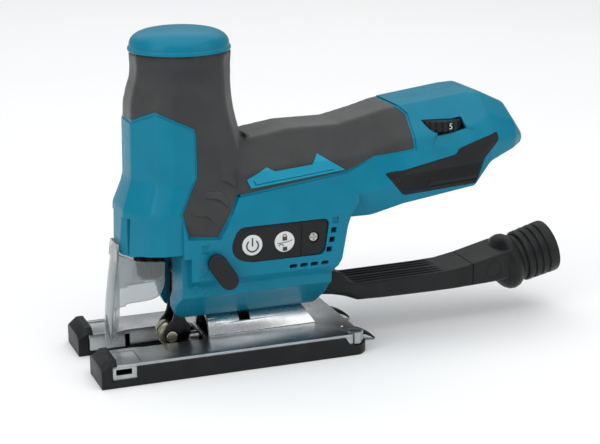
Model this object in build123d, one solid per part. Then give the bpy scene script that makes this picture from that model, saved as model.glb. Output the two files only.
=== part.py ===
"""Cordless barrel-grip jigsaw, built as its separate pieces.

Layout while modelling: X runs from the front of the shoe to the rear, Y across,
Z up from the underside of the shoe. At the end every piece is moved so that the
origin lies under the middle of the tool. Millimetres throughout.
"""
from build123d import *
import math
import os

# ---------------------------------------------------------------- driving sizes
SHOE_W = 77.0            # width of the shoe, the widest piece
SHOE_L = 149.7           # length of the shoe
SHOE_Z = 11.5            # top of the metal shoe plate
PLATE_T = 2.5            # sheet thickness of the shoe plate
COVER_T = 2.2            # thickness of the moulded sole cover
SLOT_HALF = 12.85        # half the gap between the shoe's two horns
SLOT_END = 64.0          # rear end of that gap
TILT_Z = 11.0            # height of the bevel axis
GUIDE_R = 13.5           # radius of the bevel guide
GUIDE_X = (66.0, 128.0)  # front and rear of the bevel guide
BOLT_X = 87.0            # bolt that clamps the bevel guide to the housing

TOTAL_H = 178.6          # top of the domed cap
CAP_Z = 167.0            # underside of the cap
WALL = 3.0               # moulded wall of the housing halves
GRIP_T = 1.8             # thickness of the rubber grip

PLUNGER_X = 37.0         # stroke axis
PLUNGER_R = 5.5
STROKE = 26.0
GEAR_TEETH = 35
PINION_TEETH = 9
MODULE = 1.0
MOTOR_Z = 98.0           # motor axis, in the middle of the barrel
GEAR_Z = MOTOR_Z + MODULE * (GEAR_TEETH + PINION_TEETH) / 2
CRANK_R = STROKE / 2
GEAR_X = (56.0, 64.0)
FIT = 0.05               # radial clearance of a running fit
GAP = 0.3                # clearance between bodies that only pass each other

ROLLER_X = 46.5          # blade guide roller
ROLLER_Z = 12.6
ROLLER_R = 6.3
HOLDER_X = 52.0          # pivot of the roller holder
HOLDER_Z = 46.0

SIDE_Y = 33.0            # flat sides of the lower body
LEVER_X = 64.0           # orbit lever pivot
LEVER_Z = 60.0
POWER_AT = (84.0, 67.2)
LOCK_AT = (102.0, 67.2)
BUTTON_R = 5.6
PANEL_SCREW_AT = (118.5, 68.0)

DIAL_AT = (197.0, -18.6, 121.8)
DIAL_R = 13.0

DUCT_HALF = 14.0         # half the width of the dust duct
CUFF_AT = (257.0, 0.0, 31.0)
CUFF_TILT = 14.0         # the hose cuff points up to the rear by this angle
CUFF_R = 15.6
CUFF_BORE = 12.6
CUFF_L = 23.5

TOTAL_L = (CUFF_AT[0] + CUFF_L * math.cos(math.radians(CUFF_TILT))
           + CUFF_R * math.sin(math.radians(CUFF_TILT)))

pieces = {}


def keep(name, shape):
    """Collect a finished piece under its node name."""
    pieces[name] = shape


def slab(x0, x1, y0, y1, z0, z1):
    """Box between two corners."""
    return Pos((x0 + x1) / 2, (y0 + y1) / 2, (z0 + z1) / 2) * Box(abs(x1 - x0), abs(y1 - y0),
                                                                  abs(z1 - z0))


def rod_x(x0, x1, y, z, r):
    return Pos((x0 + x1) / 2, y, z) * Rot(0, 90, 0) * Cylinder(r, x1 - x0)


def rod_y(y0, y1, x, z, r):
    return Pos(x, (y0 + y1) / 2, z) * Rot(90, 0, 0) * Cylinder(r, y1 - y0)


def rod_z(z0, z1, x, y, r):
    return Pos(x, y, (z0 + z1) / 2) * Cylinder(r, z1 - z0)


def side_prism(points, y0, y1):
    """Outline drawn in X and Z, as thick as y0 to y1."""
    face = make_face(Polyline(*[(x, 0, z) for x, z in points], close=True))
    return Pos(0, y0, 0) * extrude(face, amount=y1 - y0, dir=(0, 1, 0))


def end_prism(points, x0, x1):
    """Outline drawn in Y and Z, as long as x0 to x1."""
    face = make_face(Polyline(*[(0, y, z) for y, z in points], close=True))
    return Pos(x0, 0, 0) * extrude(face, amount=x1 - x0, dir=(1, 0, 0))


def mirrored(points):
    """Points of a half outline followed by the same points on the other side."""
    return points + [(-y, z) for y, z in reversed(points)]


# ---------------------------------------------------------------- housing form
# Levels of the front column: height, front, back, half width, half front facet.
COLUMN = [
    (CAP_Z, 30.8, 82.4, 22.8, 8.0),
    (159.0, 31.4, 82.0, 20.0, 8.0),
    (153.5, 30.8, 82.0, 20.8, 8.0),
    (147.5, 28.4, 82.2, 24.0, 8.5),
    (140.0, 26.8, 82.6, 26.0, 9.0),
    (132.0, 26.6, 84.0, 27.0, 9.0),
    (102.0, 26.2, 92.0, 27.8, 9.0),
    (97.5, 25.0, 92.0, 28.6, 9.3),
    (86.5, 20.9, 92.0, 32.0, 11.0),
    (62.0, 19.6, 92.0, 32.0, 11.0),
]

# Stations of the barrel and foot: x, underside, top, half widths from bottom to top.
BARREL = [
    (80.0, 70.0, 119.0, 20.0, 27.5, 27.5, 15.0),
    (112.0, 71.5, 124.0, 20.0, 28.0, 28.0, 14.0),
    (140.0, 72.5, 124.0, 20.0, 28.5, 28.0, 14.0),
    (156.0, 74.0, 127.5, 25.0, 32.0, 28.0, 14.0),
    (170.0, 82.0, 131.0, 36.5, 36.8, 30.0, 15.0),
    (212.0, 88.0, 136.0, 36.5, 36.8, 31.0, 16.0),
    (222.0, 100.0, 136.5, 35.0, 35.5, 30.0, 16.0),
    (239.0, 105.0, 128.5, 29.0, 31.0, 27.0, 14.0),
    (246.8, 106.5, 115.0, 22.0, 24.0, 23.0, 12.0),
]

# Half section of the lower body, from the lip on the bevel guide up to the barrel.
LOWER_HALF = [(9.0, 22.4), (12.5, 25.2), (25.5, 38.2), (29.0, 41.0), (29.0, 46.0), (SIDE_Y, 50.5),
              (SIDE_Y, 79.0), (27.0, 96.0)]
LOWER_SIDE = [(47.0, 64.0), (47.0, 35.0), (44.2, 31.0), (45.0, 26.5), (50.0, 23.0), (127.5, 22.4),
              (131.0, 31.0),
              (131.0, 47.0), (135.5, 52.0), (142.0, 74.0), (146.0, 98.0), (47.0, 98.0)]


def column_level(z, front, back, half, facet, inset):
    """Plan outline of the column: a faceted nose, flat flanks and a rounded back."""
    front += inset
    back -= inset
    half -= inset
    facet -= 0.4 * inset
    side = [(front, facet), (front + 10.5, half - 5.5), (front + 20.0, half - 1.2),
            (back - 18.0, half - 0.6),
            (back - 7.0, 0.75 * half), (back, 0.35 * half)]
    outline = side + [(x, -y) for x, y in reversed(side)]
    return make_face(Polyline(*[(x, y, z) for x, y in outline], close=True))


def barrel_station(x, low, top, base, wide, shoulder, crown, inset):
    """Cross outline of the barrel and foot: flat underside, upright flanks, sloping roof."""
    low += inset
    top -= inset
    height = top - low
    side = [(base - inset, low), (wide - inset, low + 0.30 * height),
            (shoulder - inset, low + 0.68 * height),
            (crown - 0.4 * inset, top)]
    return make_face(Polyline(*[(x, y, z) for y, z in mirrored(side)], close=True))


def column_solid(inset):
    faces = []
    for index, (z, front, back, half, facet) in enumerate(COLUMN):
        level = z
        if index == 0:
            level = z - inset
        if index == len(COLUMN) - 1:
            level = z + inset
        faces.append(column_level(level, front, back, half, facet, inset))
    return loft(faces, ruled=True)


def barrel_solid(inset):
    faces = []
    for index, station in enumerate(BARREL):
        x = station[0]
        if index == len(BARREL) - 1:
            x -= inset
        faces.append(barrel_station(x, *station[1:], inset))
    return loft(faces, ruled=True)


def lower_solid(inset):
    """Lower body: its side outline and its V-bottomed cross section, cut out of each other."""
    side = side_prism(LOWER_SIDE, -SIDE_Y - 5, SIDE_Y + 5)
    half = [(y - inset, z + 1.4 * inset if z < 50 else z) for y, z in LOWER_HALF]
    cross = end_prism(mirrored(half), 47.0 - 3.0 + inset, 146.0 - 2 * inset)
    return side & cross


outer = column_solid(0) + barrel_solid(0) + lower_solid(0)
under_grip = column_solid(GRIP_T) + barrel_solid(GRIP_T) + lower_solid(GRIP_T)
inner = column_solid(WALL) + barrel_solid(WALL)
LOWER_ROOM = [(24.0, 47.0), (SIDE_Y - WALL, 53.0), (SIDE_Y - WALL, 78.0), (24.0, 92.0)]
REAR_WALL = [(130.0, 45.0), (132.5, 53.0), (140.0, 78.0), (150.0, 78.0), (150.0, 45.0)]
inner += end_prism(mirrored(LOWER_ROOM), 50.0, 134.0) - side_prism(REAR_WALL, -40, 40)

# ---------------------------------------------------------------- grip, cap, trim
GRIP_LINE = [(10.0, 172.0), (10.0, 133.0), (26.6, 133.0), (37.0, 139.0), (55.9, 130.0), (56.9, 126.0),
             (56.9, 104.0), (47.5, 86.5), (50.5, 74.5), (66.0, 73.0), (78.0, 93.0), (139.0, 101.0),
             (155.0, 108.0), (177.0, 111.0), (177.0, 127.0), (166.0, 138.0), (166.0, 172.0)]
STRIP_LINE = [(81.0, 102.0), (94.0, 107.0), (98.0, 104.0), (118.0, 106.0), (120.0, 111.5),
              (137.0, 104.5),
              (84.0, 98.0)]
STRIP_T = 1.2

grip_zone = side_prism(GRIP_LINE, -45, 45)
strip_zone = side_prism(STRIP_LINE, -45, -22) + side_prism(STRIP_LINE, 22, 45)
grip = (outer - under_grip) & grip_zone
barrel_skin = barrel_solid(0) - barrel_solid(STRIP_T)
strips = barrel_skin & strip_zone
grip -= strips
housing = outer - inner - grip - strips

for side, half_space in (("left", slab(-20, 300, -60, 0, -5, 200)),
                         ("right", slab(-20, 300, 0, 60, -5, 200))):
    keep("grip_" + side, grip & half_space)
    keep("accent_strip_" + side, strips & half_space)

CAP_X = 56.4
CAP_A = 27.3             # half length of the cap's oval
CAP_B = 25.5             # half width
cap_rim = Pos(CAP_X, 0, CAP_Z + 0.02) * extrude(Ellipse(CAP_A, CAP_B), amount=1.8)
cap_top = loft([
    Pos(CAP_X, 0, CAP_Z + 1.82) * Ellipse(CAP_A, CAP_B),
    Pos(CAP_X, 0, CAP_Z + 5.5) * Ellipse(CAP_A - 1.6, CAP_B - 1.6),
    Pos(CAP_X, 0, CAP_Z + 9.2) * Ellipse(CAP_A - 7.5, CAP_B - 7.5),
    Pos(CAP_X, 0, TOTAL_H) * Ellipse(CAP_A - 17.0, CAP_B - 15.5),
], ruled=True)
cap_room = loft([
    Pos(CAP_X, 0, CAP_Z - 0.5) * Ellipse(CAP_A - 5.5, CAP_B - 6.5),
    Pos(CAP_X, 0, CAP_Z + 6.6) * Ellipse(CAP_A - 10.5, CAP_B - 10.5),
], ruled=True)
keep("top_cap", cap_rim + cap_top - cap_room)

# ---------------------------------------------------------------- gear housing and plunger
GEAR_ROOM_Y = 21.0
gear_case = (column_solid(WALL + 0.4) & slab(20, 76, -30, 30, 84, 152))
snout = slab(28.5, 54.0, -10.5, 10.5, 62.5, 84.0)
gear_case += snout
gear_case -= slab(29.0, 66.5, -GEAR_ROOM_Y, GEAR_ROOM_Y, 87.0, 140.3)
gear_case += rod_z(84.0, 99.5, PLUNGER_X, 0, 10.5)
gear_case -= rod_z(60.0, 160.0, PLUNGER_X, 0, 8.0)
gear_case -= rod_x(60.0, 80.0, 0, MOTOR_Z, 9.5)
gear_case -= rod_x(60.0, 77.0, 0, GEAR_Z, 8.0)
holder_room = slab(47.5, 55.0, -7.0, 7.0, 60.0, 70.0)
keep("gear_housing", gear_case - holder_room)


def bush(z0, z1):
    return rod_z(z0, z1, PLUNGER_X, 0, 8.0) - rod_z(z0 - 1, z1 + 1, PLUNGER_X, 0, PLUNGER_R + FIT)


keep("lower_bush", bush(63.0, 79.0))
keep("upper_bush", bush(86.5, 99.5))

YOKE_Z = GEAR_Z + CRANK_R
YOKE_X = (41.0, 46.6)
PIN_R = 4.0
plunger = rod_z(58.0, YOKE_Z + 6.6, PLUNGER_X, 0, PLUNGER_R) - rod_z(100.0, 172.0, PLUNGER_X, 0, 3.4)
plunger -= slab(41.0, 48.0, -8.0, 8.0, YOKE_Z - 6.6, YOKE_Z + 6.6)
keep("plunger", plunger)
yoke = slab(*YOKE_X, -19.0, 19.0, YOKE_Z - 6.5, YOKE_Z + 6.5)
yoke -= slab(YOKE_X[0] + 1.8, YOKE_X[1] + 1, -17.3, 17.3, YOKE_Z - PIN_R - 0.2, YOKE_Z + PIN_R + 0.2)
keep("drive_yoke", yoke)

weight = slab(48.3, 53.0, -20.4, 20.4, 88.0, 96.2)
for side in (-1, 1):
    weight += slab(48.3, 53.0, side * 18.2, side * 20.4, 96.0, 124.0)
keep("counterweight", weight)


# ---------------------------------------------------------------- gear train
def tooth_wheel(teeth, thickness, addendum, root_depth, slack):
    """Spur wheel with straight teeth whose flanks follow an involute, standing on z = 0."""
    pitch_r = teeth * MODULE / 2
    base_r = pitch_r * math.cos(math.radians(20))
    tip_r = pitch_r + addendum
    root_r = pitch_r - root_depth
    half_angle = (math.pi * MODULE / 2 - slack) / (2 * pitch_r)
    pitch_roll = math.sqrt((pitch_r / base_r) ** 2 - 1)
    pitch_turn = pitch_roll - math.atan(pitch_roll)
    flank = [(root_r, half_angle + pitch_turn)]
    for step in range(4):
        r = max(base_r, root_r) + (tip_r - max(base_r, root_r)) * step / 3
        roll = math.sqrt(max((r / base_r) ** 2 - 1, 0.0))
        flank.append((r, half_angle + pitch_turn - (roll - math.atan(roll))))
    outline = []
    for tooth in range(teeth):
        middle = 2 * math.pi * tooth / teeth
        for r, turn in flank:
            outline.append((r * math.cos(middle - turn), r * math.sin(middle - turn)))
        for r, turn in reversed(flank):
            outline.append((r * math.cos(middle + turn), r * math.sin(middle + turn)))
    return extrude(make_face(Polyline(*outline, close=True)), amount=thickness)


BACKLASH = 0.16
gear_wheel = tooth_wheel(GEAR_TEETH, GEAR_X[1] - GEAR_X[0], 0.8 * MODULE, 1.25 * MODULE, BACKLASH)
pinion = tooth_wheel(PINION_TEETH, GEAR_X[1] - GEAR_X[0] + 1.0, 0.9 * MODULE, 1.2 * MODULE, BACKLASH)
# Both wheels are laid on the X axis. A tooth of the gear points straight down,
# a gap of the pinion straight up.
gear_wheel = Pos(GEAR_X[0], 0, GEAR_Z) * Rot(0, 90, 0) * gear_wheel
pinion = Pos(GEAR_X[0] - 0.5, 0, MOTOR_Z) * Rot(0, 90, 0) * pinion
GEAR_SHAFT_R = 4.0
MOTOR_SHAFT_R = 2.5
keep("drive_gear", gear_wheel - rod_x(50, 70, 0, GEAR_Z, GEAR_SHAFT_R))
keep("gear_shaft", rod_x(GEAR_X[0], 80.0, 0, GEAR_Z, GEAR_SHAFT_R))
keep("crank_pin", rod_x(47.2, GEAR_X[0], 0, YOKE_Z, PIN_R))
keep("gear_bearing", rod_x(67.0, 77.0, 0, GEAR_Z, 8.0) - rod_x(60, 80, 0, GEAR_Z, GEAR_SHAFT_R + FIT))
keep("motor_pinion", pinion - rod_x(50, 70, 0, MOTOR_Z, MOTOR_SHAFT_R))

# ---------------------------------------------------------------- motor
STATOR_X = (112.0, 142.0)
keep("motor_shaft", rod_x(GEAR_X[0] - 0.5, 163.0, 0, MOTOR_Z, MOTOR_SHAFT_R))
keep("rotor", rod_x(*STATOR_X, 0, MOTOR_Z, 10.5) - rod_x(100, 150, 0, MOTOR_Z, MOTOR_SHAFT_R))
stator = rod_x(*STATOR_X, 0, MOTOR_Z, 21.5) - rod_x(100, 150, 0, MOTOR_Z, 18.6)
for index in range(6):
    pole = slab(*STATOR_X, -2.6, 2.6, 12.0, 18.8) + slab(*STATOR_X, -4.6, 4.6, 11.0, 12.8)
    stator += Pos(0, 0, MOTOR_Z) * Rot(index * 60, 0, 0) * pole
keep("stator", stator)
windings = None
for index in range(6):
    coil = slab(STATOR_X[0] - 3.0, STATOR_X[1] + 3.0, -4.6, 4.6, 13.1, 17.8)
    coil -= slab(STATOR_X[0] - 0.1, STATOR_X[1] + 0.1, -2.7, 2.7, 11.0, 20.0)
    turned = Pos(0, 0, MOTOR_Z) * Rot(index * 60, 0, 0) * coil
    windings = turned if windings is None else windings + turned
keep("windings", windings)
keep("front_bearing", rod_x(67.0, 73.0, 0, MOTOR_Z, 9.5) - rod_x(60, 80, 0, MOTOR_Z,
                                                                 MOTOR_SHAFT_R + FIT))
keep("rear_bearing", rod_x(153.0, 159.0, 0, MOTOR_Z, 9.5) - rod_x(150, 165, 0, MOTOR_Z,
                                                                  MOTOR_SHAFT_R + FIT))

FAN_X = (90.0, 100.0)
fan = rod_x(FAN_X[1] - 2.0, FAN_X[1], 0, MOTOR_Z, 19.0) + rod_x(*FAN_X, 0, MOTOR_Z, 6.0)
for index in range(11):
    vane = slab(FAN_X[0] + 1, FAN_X[1] - 1, -0.6, 0.6, 5.0, 18.6)
    fan += Pos(0, 0, MOTOR_Z) * Rot(index * 360 / 11, 0, 0) * vane
keep("cooling_fan", fan - rod_x(80, 110, 0, MOTOR_Z, MOTOR_SHAFT_R))

# Bulkheads moulded into the housing hold the stator and the rear bearing.
bulkhead_x = ((115.0, 118.0, 21.5), (136.0, 139.0, 21.5), (153.0, 159.0, 9.5))
for x0, x1, seat in bulkhead_x:
    wall = barrel_solid(2.0) & slab(x0, x1, -30, 30, 60, 130)
    housing += wall - rod_x(x0 - 1, x1 + 1, 0, MOTOR_Z, seat)

# ---------------------------------------------------------------- electronics
keep("controller", slab(172.0, 216.0, -24.0, 24.0, 104.5, 113.5))
terminal = slab(196.0, 212.0, -17.0, 17.0, 92.0, 100.0)
keep("terminal_block", terminal)
contacts = None
for y in (-12.0, -4.0, 4.0, 12.0):
    contact = slab(184.0, 196.0, y - 0.6, y + 0.6, 93.0, 99.0)
    contacts = contact if contacts is None else contacts + contact
keep("terminal_contacts", contacts)
keep("switch_board", slab(76.0, 124.0, -25.5, -24.0, 57.0, 77.0))

# ---------------------------------------------------------------- blade clamp and guide
keep("blade_holder", rod_z(44.6, 57.9, PLUNGER_X, 0, 4.6) - slab(32.6, 41.4, -0.8, 0.8, 44.0, 56.0))
collar = rod_z(46.4, 58.6, PLUNGER_X, 0, 8.2)
collar += slab(PLUNGER_X - 1.0, PLUNGER_X + 8.0, 0.5, 8.6, 46.4, 58.6)
collar -= rod_z(40.0, 57.9, PLUNGER_X, 0, 4.6 + FIT)
collar -= rod_z(57.0, 60.0, PLUNGER_X, 0, PLUNGER_R + FIT)
keep("clamp_collar", collar)

HOLDER_HALF = 8.0
roller = rod_y(-5.0, 5.0, ROLLER_X, ROLLER_Z, ROLLER_R)
roller -= (rod_y(-0.9, 0.9, ROLLER_X, ROLLER_Z, ROLLER_R + 1)
           - rod_y(-1.0, 1.0, ROLLER_X, ROLLER_Z, ROLLER_R - 1.6))
PIN_HOLE_R = 2.5
keep("guide_roller", roller - rod_y(-9, 9, ROLLER_X, ROLLER_Z, PIN_HOLE_R + FIT))
roller_pin = rod_y(-8.0, 8.0, ROLLER_X, ROLLER_Z, PIN_HOLE_R) + rod_y(-8.9, -8.0, ROLLER_X, ROLLER_Z,
                                                                      3.1)
keep("roller_pin", roller_pin)
CHEEK_LINE = [(42.5, 12.0), (44.0, 8.8), (49.0, 8.0), (57.0, 12.5), (57.5, 17.5), (53.5, 22.0),
              (54.5, 48.0),
              (52.0, 50.0), (49.5, 48.0), (49.3, 30.0), (47.8, 21.5), (43.5, 17.0)]
cheeks = side_prism(CHEEK_LINE, 5.6, HOLDER_HALF) + side_prism(CHEEK_LINE, -HOLDER_HALF, -5.6)
cheeks += slab(53.5, 57.2, -5.8, 5.8, 13.0, 17.0) + slab(50.5, 53.8, -5.8, 5.8, 26.0, 42.0)
cheeks -= rod_y(-9, 9, ROLLER_X, ROLLER_Z, PIN_HOLE_R)
cheeks -= rod_y(-9, 9, HOLDER_X, HOLDER_Z, 1.6 + FIT)
keep("roller_holder", cheeks)
keep("holder_pin", rod_y(-12.0, 12.0, HOLDER_X, HOLDER_Z, 1.6))

# ---------------------------------------------------------------- orbit lever
LEVER_REACH = 11.8       # from the pivot to the centre of the round end
LEVER_HALF = 5.0
LEVER_TURN = 33.0        # at rest the lever points down and to the rear
LEVER_Y = SIDE_Y + 0.3
LEVER_FACE = LEVER_Y + 4.4
lever = (rod_y(-LEVER_FACE, -LEVER_Y, 0, 0, LEVER_HALF)
         + rod_y(-LEVER_FACE, -LEVER_Y, 0, -LEVER_REACH, LEVER_HALF))
lever += slab(-LEVER_HALF, LEVER_HALF, -LEVER_FACE, -LEVER_Y, -LEVER_REACH, 0)
keep("orbit_lever", Pos(LEVER_X, 0, LEVER_Z) * Rot(0, -LEVER_TURN, 0) * lever)
cam = rod_y(-LEVER_Y, -12.5, LEVER_X, LEVER_Z, 3.0) + rod_y(-20.0, -17.0, LEVER_X, LEVER_Z, 5.0)
keep("orbit_cam", cam - slab(LEVER_X - 4, LEVER_X + 4, -16.0, -12.0, LEVER_Z + 0.5, LEVER_Z + 4))

# ---------------------------------------------------------------- control panel and buttons
PANEL_LINE = [(73.5, 68.0), (78.5, 76.8), (125.6, 77.0), (127.2, 74.5), (125.2, 60.0), (123.0, 58.2),
              (84.0, 58.0),
              (76.5, 60.0)]
PANEL_Y = (SIDE_Y - 2.4, SIDE_Y + 0.4)
panel = side_prism(PANEL_LINE, -PANEL_Y[1], -PANEL_Y[0])
for x, z in (POWER_AT, LOCK_AT):
    panel -= rod_y(-40, -20, x, z, BUTTON_R + 0.15)
panel -= rod_y(-40, -20, *PANEL_SCREW_AT, 1.5)
panel -= rod_y(-40, -SIDE_Y + 0.4, *PANEL_SCREW_AT, 3.0)
keep("control_panel", panel)
screw_x, screw_z = PANEL_SCREW_AT
panel_screw = rod_y(-SIDE_Y, -SIDE_Y + 0.4, screw_x, screw_z, 2.6)
panel_screw += rod_y(-SIDE_Y + 0.4, -26.5, screw_x, screw_z, 1.45)
panel_screw -= slab(screw_x - 1.6, screw_x + 1.6, -34, -SIDE_Y + 0.25, screw_z - 0.3, screw_z + 0.3)
keep("panel_screw", panel_screw)
for name, (x, z) in (("power_button", POWER_AT), ("lock_button", LOCK_AT)):
    button = rod_y(-SIDE_Y - 0.7, -PANEL_Y[0] + 0.4, x, z, BUTTON_R) + rod_y(-PANEL_Y[0], -27.2, x, z,
                                                                             2.0)
    keep(name, button)

# ---------------------------------------------------------------- foot panels and dial
FOOT_LINE = [(160.0, 98.5), (169.0, 86.8), (212.6, 89.8), (214.8, 95.5), (217.5, 103.1), (227.0, 112.5),
             (226.2, 116.6), (202.6, 109.2), (200.5, 106.3)]
FOOT_T = 1.6
foot_zone = side_prism(FOOT_LINE, -45, -24) + side_prism(FOOT_LINE, 24, 45)
foot_skin = (barrel_solid(0) - barrel_solid(FOOT_T)) & foot_zone
housing -= foot_skin
keep("side_panel_left", foot_skin & slab(100, 300, -60, 0, 50, 150))
keep("side_panel_right", foot_skin & slab(100, 300, 0, 60, 50, 150))

dial = rod_z(DIAL_AT[2] - 3.6, DIAL_AT[2] + 3.6, DIAL_AT[0], DIAL_AT[1], DIAL_R)
for index in range(24):
    notch = (Pos(DIAL_AT[0], DIAL_AT[1], DIAL_AT[2]) * Rot(0, 0, index * 15)
             * Pos(DIAL_R, 0, 0) * Cylinder(0.5, 8))
    dial -= notch
dial -= rod_z(110, 130, DIAL_AT[0], DIAL_AT[1], 2.0 + FIT)
keep("speed_dial", dial)
keep("dial_post", rod_z(113.5, 125.5, DIAL_AT[0], DIAL_AT[1], 2.0))

# ---------------------------------------------------------------- openings in the housing
housing -= slab(185.5, 208.5, -40, -20, DIAL_AT[2] - 4.0, DIAL_AT[2] + 4.0)
housing -= rod_z(DIAL_AT[2] - 4.0, DIAL_AT[2] + 4.0, DIAL_AT[0], DIAL_AT[1], DIAL_R + 0.4)
housing -= side_prism(PANEL_LINE, -SIDE_Y - 1, -PANEL_Y[0])
for x, z in (POWER_AT, LOCK_AT):
    housing -= rod_y(-SIDE_Y, -20, x, z, BUTTON_R + 0.3)
housing -= rod_y(-SIDE_Y, -24, *PANEL_SCREW_AT, 1.5)
# Nose: open underneath for the plunger, the chip guard's wings and the blade clamp.
NOSE = COLUMN[-1]
nose_opening = Pos(0, 0, -4.0) * extrude(column_level(*NOSE, WALL), amount=8.0)
housing -= nose_opening & slab(15.0, 46.8, -22.0, 22.0, 55.0, 70.0)
housing -= rod_z(15.0, 66.0, PLUNGER_X, 0, 12.5)
housing -= slab(46.0, 56.5, -8.8, 8.8, 15.0, 66.0)
housing -= slab(40.0, 61.0, -9.0, 9.0, 15.0, 32.0)
for side in (-1, 1):
    housing -= slab(46.0, 51.5, side * 20.0, side * (SIDE_Y + 2), 34.0, 60.0)
# Room for the drive yoke all the way down its stroke.
housing -= slab(40.0, 47.6, -19.6, 19.6, YOKE_Z - 6.5 - STROKE - 1.0, YOKE_Z + 7.0)
# Lower body: seat on the bevel guide, pocket for the clamp bolt, tunnel to the dust duct.
housing -= rod_x(40, 140, 0, TILT_Z, GUIDE_R + GAP)
housing -= rod_y(-SIDE_Y - 1, -12, LEVER_X, LEVER_Z, 3.0 + FIT)
housing -= rod_y(-21.0, -16.0, LEVER_X, LEVER_Z, 5.3)
housing -= rod_y(-12.2, 12.2, HOLDER_X, HOLDER_Z, 1.6)
housing -= rod_z(15.0, 27.0, BOLT_X, 0, 2.5)
TUNNEL = mirrored([(8.0, 27.0), (10.0, 29.0), (10.0, 38.0)])
housing -= end_prism(TUNNEL, 55.0, 140.0)
# Cooling slots behind the panel and under it.
for z in (59.5, 65.3, 71.0):
    housing -= slab(128.6, 131.6, -40, -28.5, z - 1.4, z + 1.4)
for x in (107.0, 113.0, 119.0, 125.0):
    housing -= slab(x - 2.0, x + 2.0, -40, -28.5, 52.4, 54.4)
for z in (59.5, 65.3, 71.0):
    housing -= slab(112.0, 124.0, 28.5, 40, z - 1.3, z + 1.3)
# Foot: slide-in space for the battery with a rail along each side.
BATTERY_HALF = 27.0
BATTERY_LINE = [(173.0, 78.0), (176.0, 99.0), (212.5, 103.0), (240.0, 103.0), (240.0, 78.0)]
battery_room = side_prism(BATTERY_LINE, -BATTERY_HALF, BATTERY_HALF)
RAIL_LINE = [(176.0, 86.2), (176.3, 89.2), (216.0, 92.2), (216.0, 89.2)]
rails = side_prism(RAIL_LINE, -BATTERY_HALF - 1, -BATTERY_HALF + 4.0)
rails += side_prism(RAIL_LINE, BATTERY_HALF - 4.0, BATTERY_HALF + 1)
SHELF_LINE = [(170.0, 80.0), (173.0, 103.0), (240.0, 103.0), (240.0, 100.0), (212.5, 100.5),
              (176.2, 98.5),
              (173.2, 80.0)]
shelf = side_prism(SHELF_LINE, -BATTERY_HALF - 5, BATTERY_HALF + 5)
housing = housing - battery_room
housing += (barrel_solid(0) & shelf) - battery_room
ROOF_LINE = [(172.0, 99.2), (172.0, 102.0), (236.0, 106.0), (236.0, 103.2)]
housing += side_prism(ROOF_LINE, -BATTERY_HALF - 6, BATTERY_HALF + 6) & barrel_solid(1.8)
housing += rails & barrel_solid(1.8)
housing -= pieces["terminal_block"]
for name in ("control_panel", "gear_housing", "controller"):
    housing -= pieces[name]

# Screws: seven bosses join the halves, with the heads sunk in the right side.
BOSSES = [(62.0, 158.5), (62.0, 77.5), (136.0, 67.0), (60.0, 45.5), (122.0, 44.5), (158.0, 82.5),
          (226.0, 118.0)]
BOSS_HALF = [16.5, 26.0, 24.0, 20.0, 24.0, 22.0, 24.0]
screws = None
for (x, z), reach in zip(BOSSES, BOSS_HALF):
    housing += rod_y(-reach, reach + 3, x, z, 4.6) & under_grip
    housing -= rod_y(-reach + 4, reach + 4, x, z, 1.65)
    housing -= rod_y(reach - 3, 45, x, z, 3.5)
    screw = rod_y(-reach + 5, reach - 3, x, z, 1.6) + rod_y(reach - 3, reach - 0.8, x, z, 3.3)
    screw -= Pos(x, reach - 1.4, z) * Rot(90, 0, 0) * extrude(RegularPolygon(1.5, 6),
                                                              amount=2, both=True)
    screws = screw if screws is None else screws + screw
keep("housing_screws", screws)
for name in ("gear_housing", "controller", "stator", "windings"):
    housing -= pieces[name]
housing -= rod_x(88.5, 101.5, 0, MOTOR_Z, 19.6)
housing -= rod_x(100.0, 165.0, 0, MOTOR_Z, 3.2)
housing -= rod_x(143.0, 146.0, 0, MOTOR_Z, 19.0) + rod_x(108.0, 112.0, 0, MOTOR_Z, 19.0)

left = housing & slab(-20, 300, -60, 0, -5, 200)
right = housing & slab(-20, 300, 0, 60, -5, 200)
for side, half in (("left", left), ("right", right)):
    solids = sorted(half.solids(), key=lambda s: -s.volume)
    keep("housing_" + side, solids[0])

keep("work_light", slab(23.4, 28.5, -3.0, 3.0, 63.5, 66.5))

# ---------------------------------------------------------------- chip guard
GUARD_HALF = 11.5        # half width of the front plate
WING_Y = (13.1, 14.6)
front_plate = side_prism([(17.8, 60.0), (19.3, 60.0), (17.5, 49.0), (14.9, 27.0), (14.0, 9.2),
                          (12.6, 9.2),
                          (13.4, 27.0), (16.0, 49.0)], -GUARD_HALF, GUARD_HALF)
GUARD_FRONT = [(2.4, 9.0), (7.2, 17.0), (7.6, 30.0), (GUARD_HALF, 35.5), (GUARD_HALF, 61.0)]
guard = front_plate & end_prism(mirrored(GUARD_FRONT), 10, 25)
WING_LINE = [(18.6, 35.9), (33.3, 37.0), (38.8, 38.0), (41.1, 44.9), (41.9, 55.9), (40.9, 57.7),
             (28.5, 59.8),
             (28.5, 41.5), (18.6, 41.5)]
for side in (-1, 1):
    guard += side_prism(WING_LINE, side * WING_Y[0], side * WING_Y[1])
    bend = make_face(Polyline((15.0, side * 10.0, 36.0), (17.0, side * 11.5, 36.0),
                              (19.0, side * WING_Y[1], 36.0),
                              (20.5, side * WING_Y[1], 36.0), (20.5, side * WING_Y[0], 36.0),
                              (18.0, side * 10.6, 36.0), (17.4, side * 10.0, 36.0), close=True))
    guard += extrude(bend, amount=5.5, dir=(0, 0, 1))
    guard += side_prism([(14.4, 17.0), (17.6, 17.6), (19.6, 40.0),
                         (16.6, 40.0)], side * 5.8, side * 7.2)
keep("chip_guard", guard)

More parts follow.
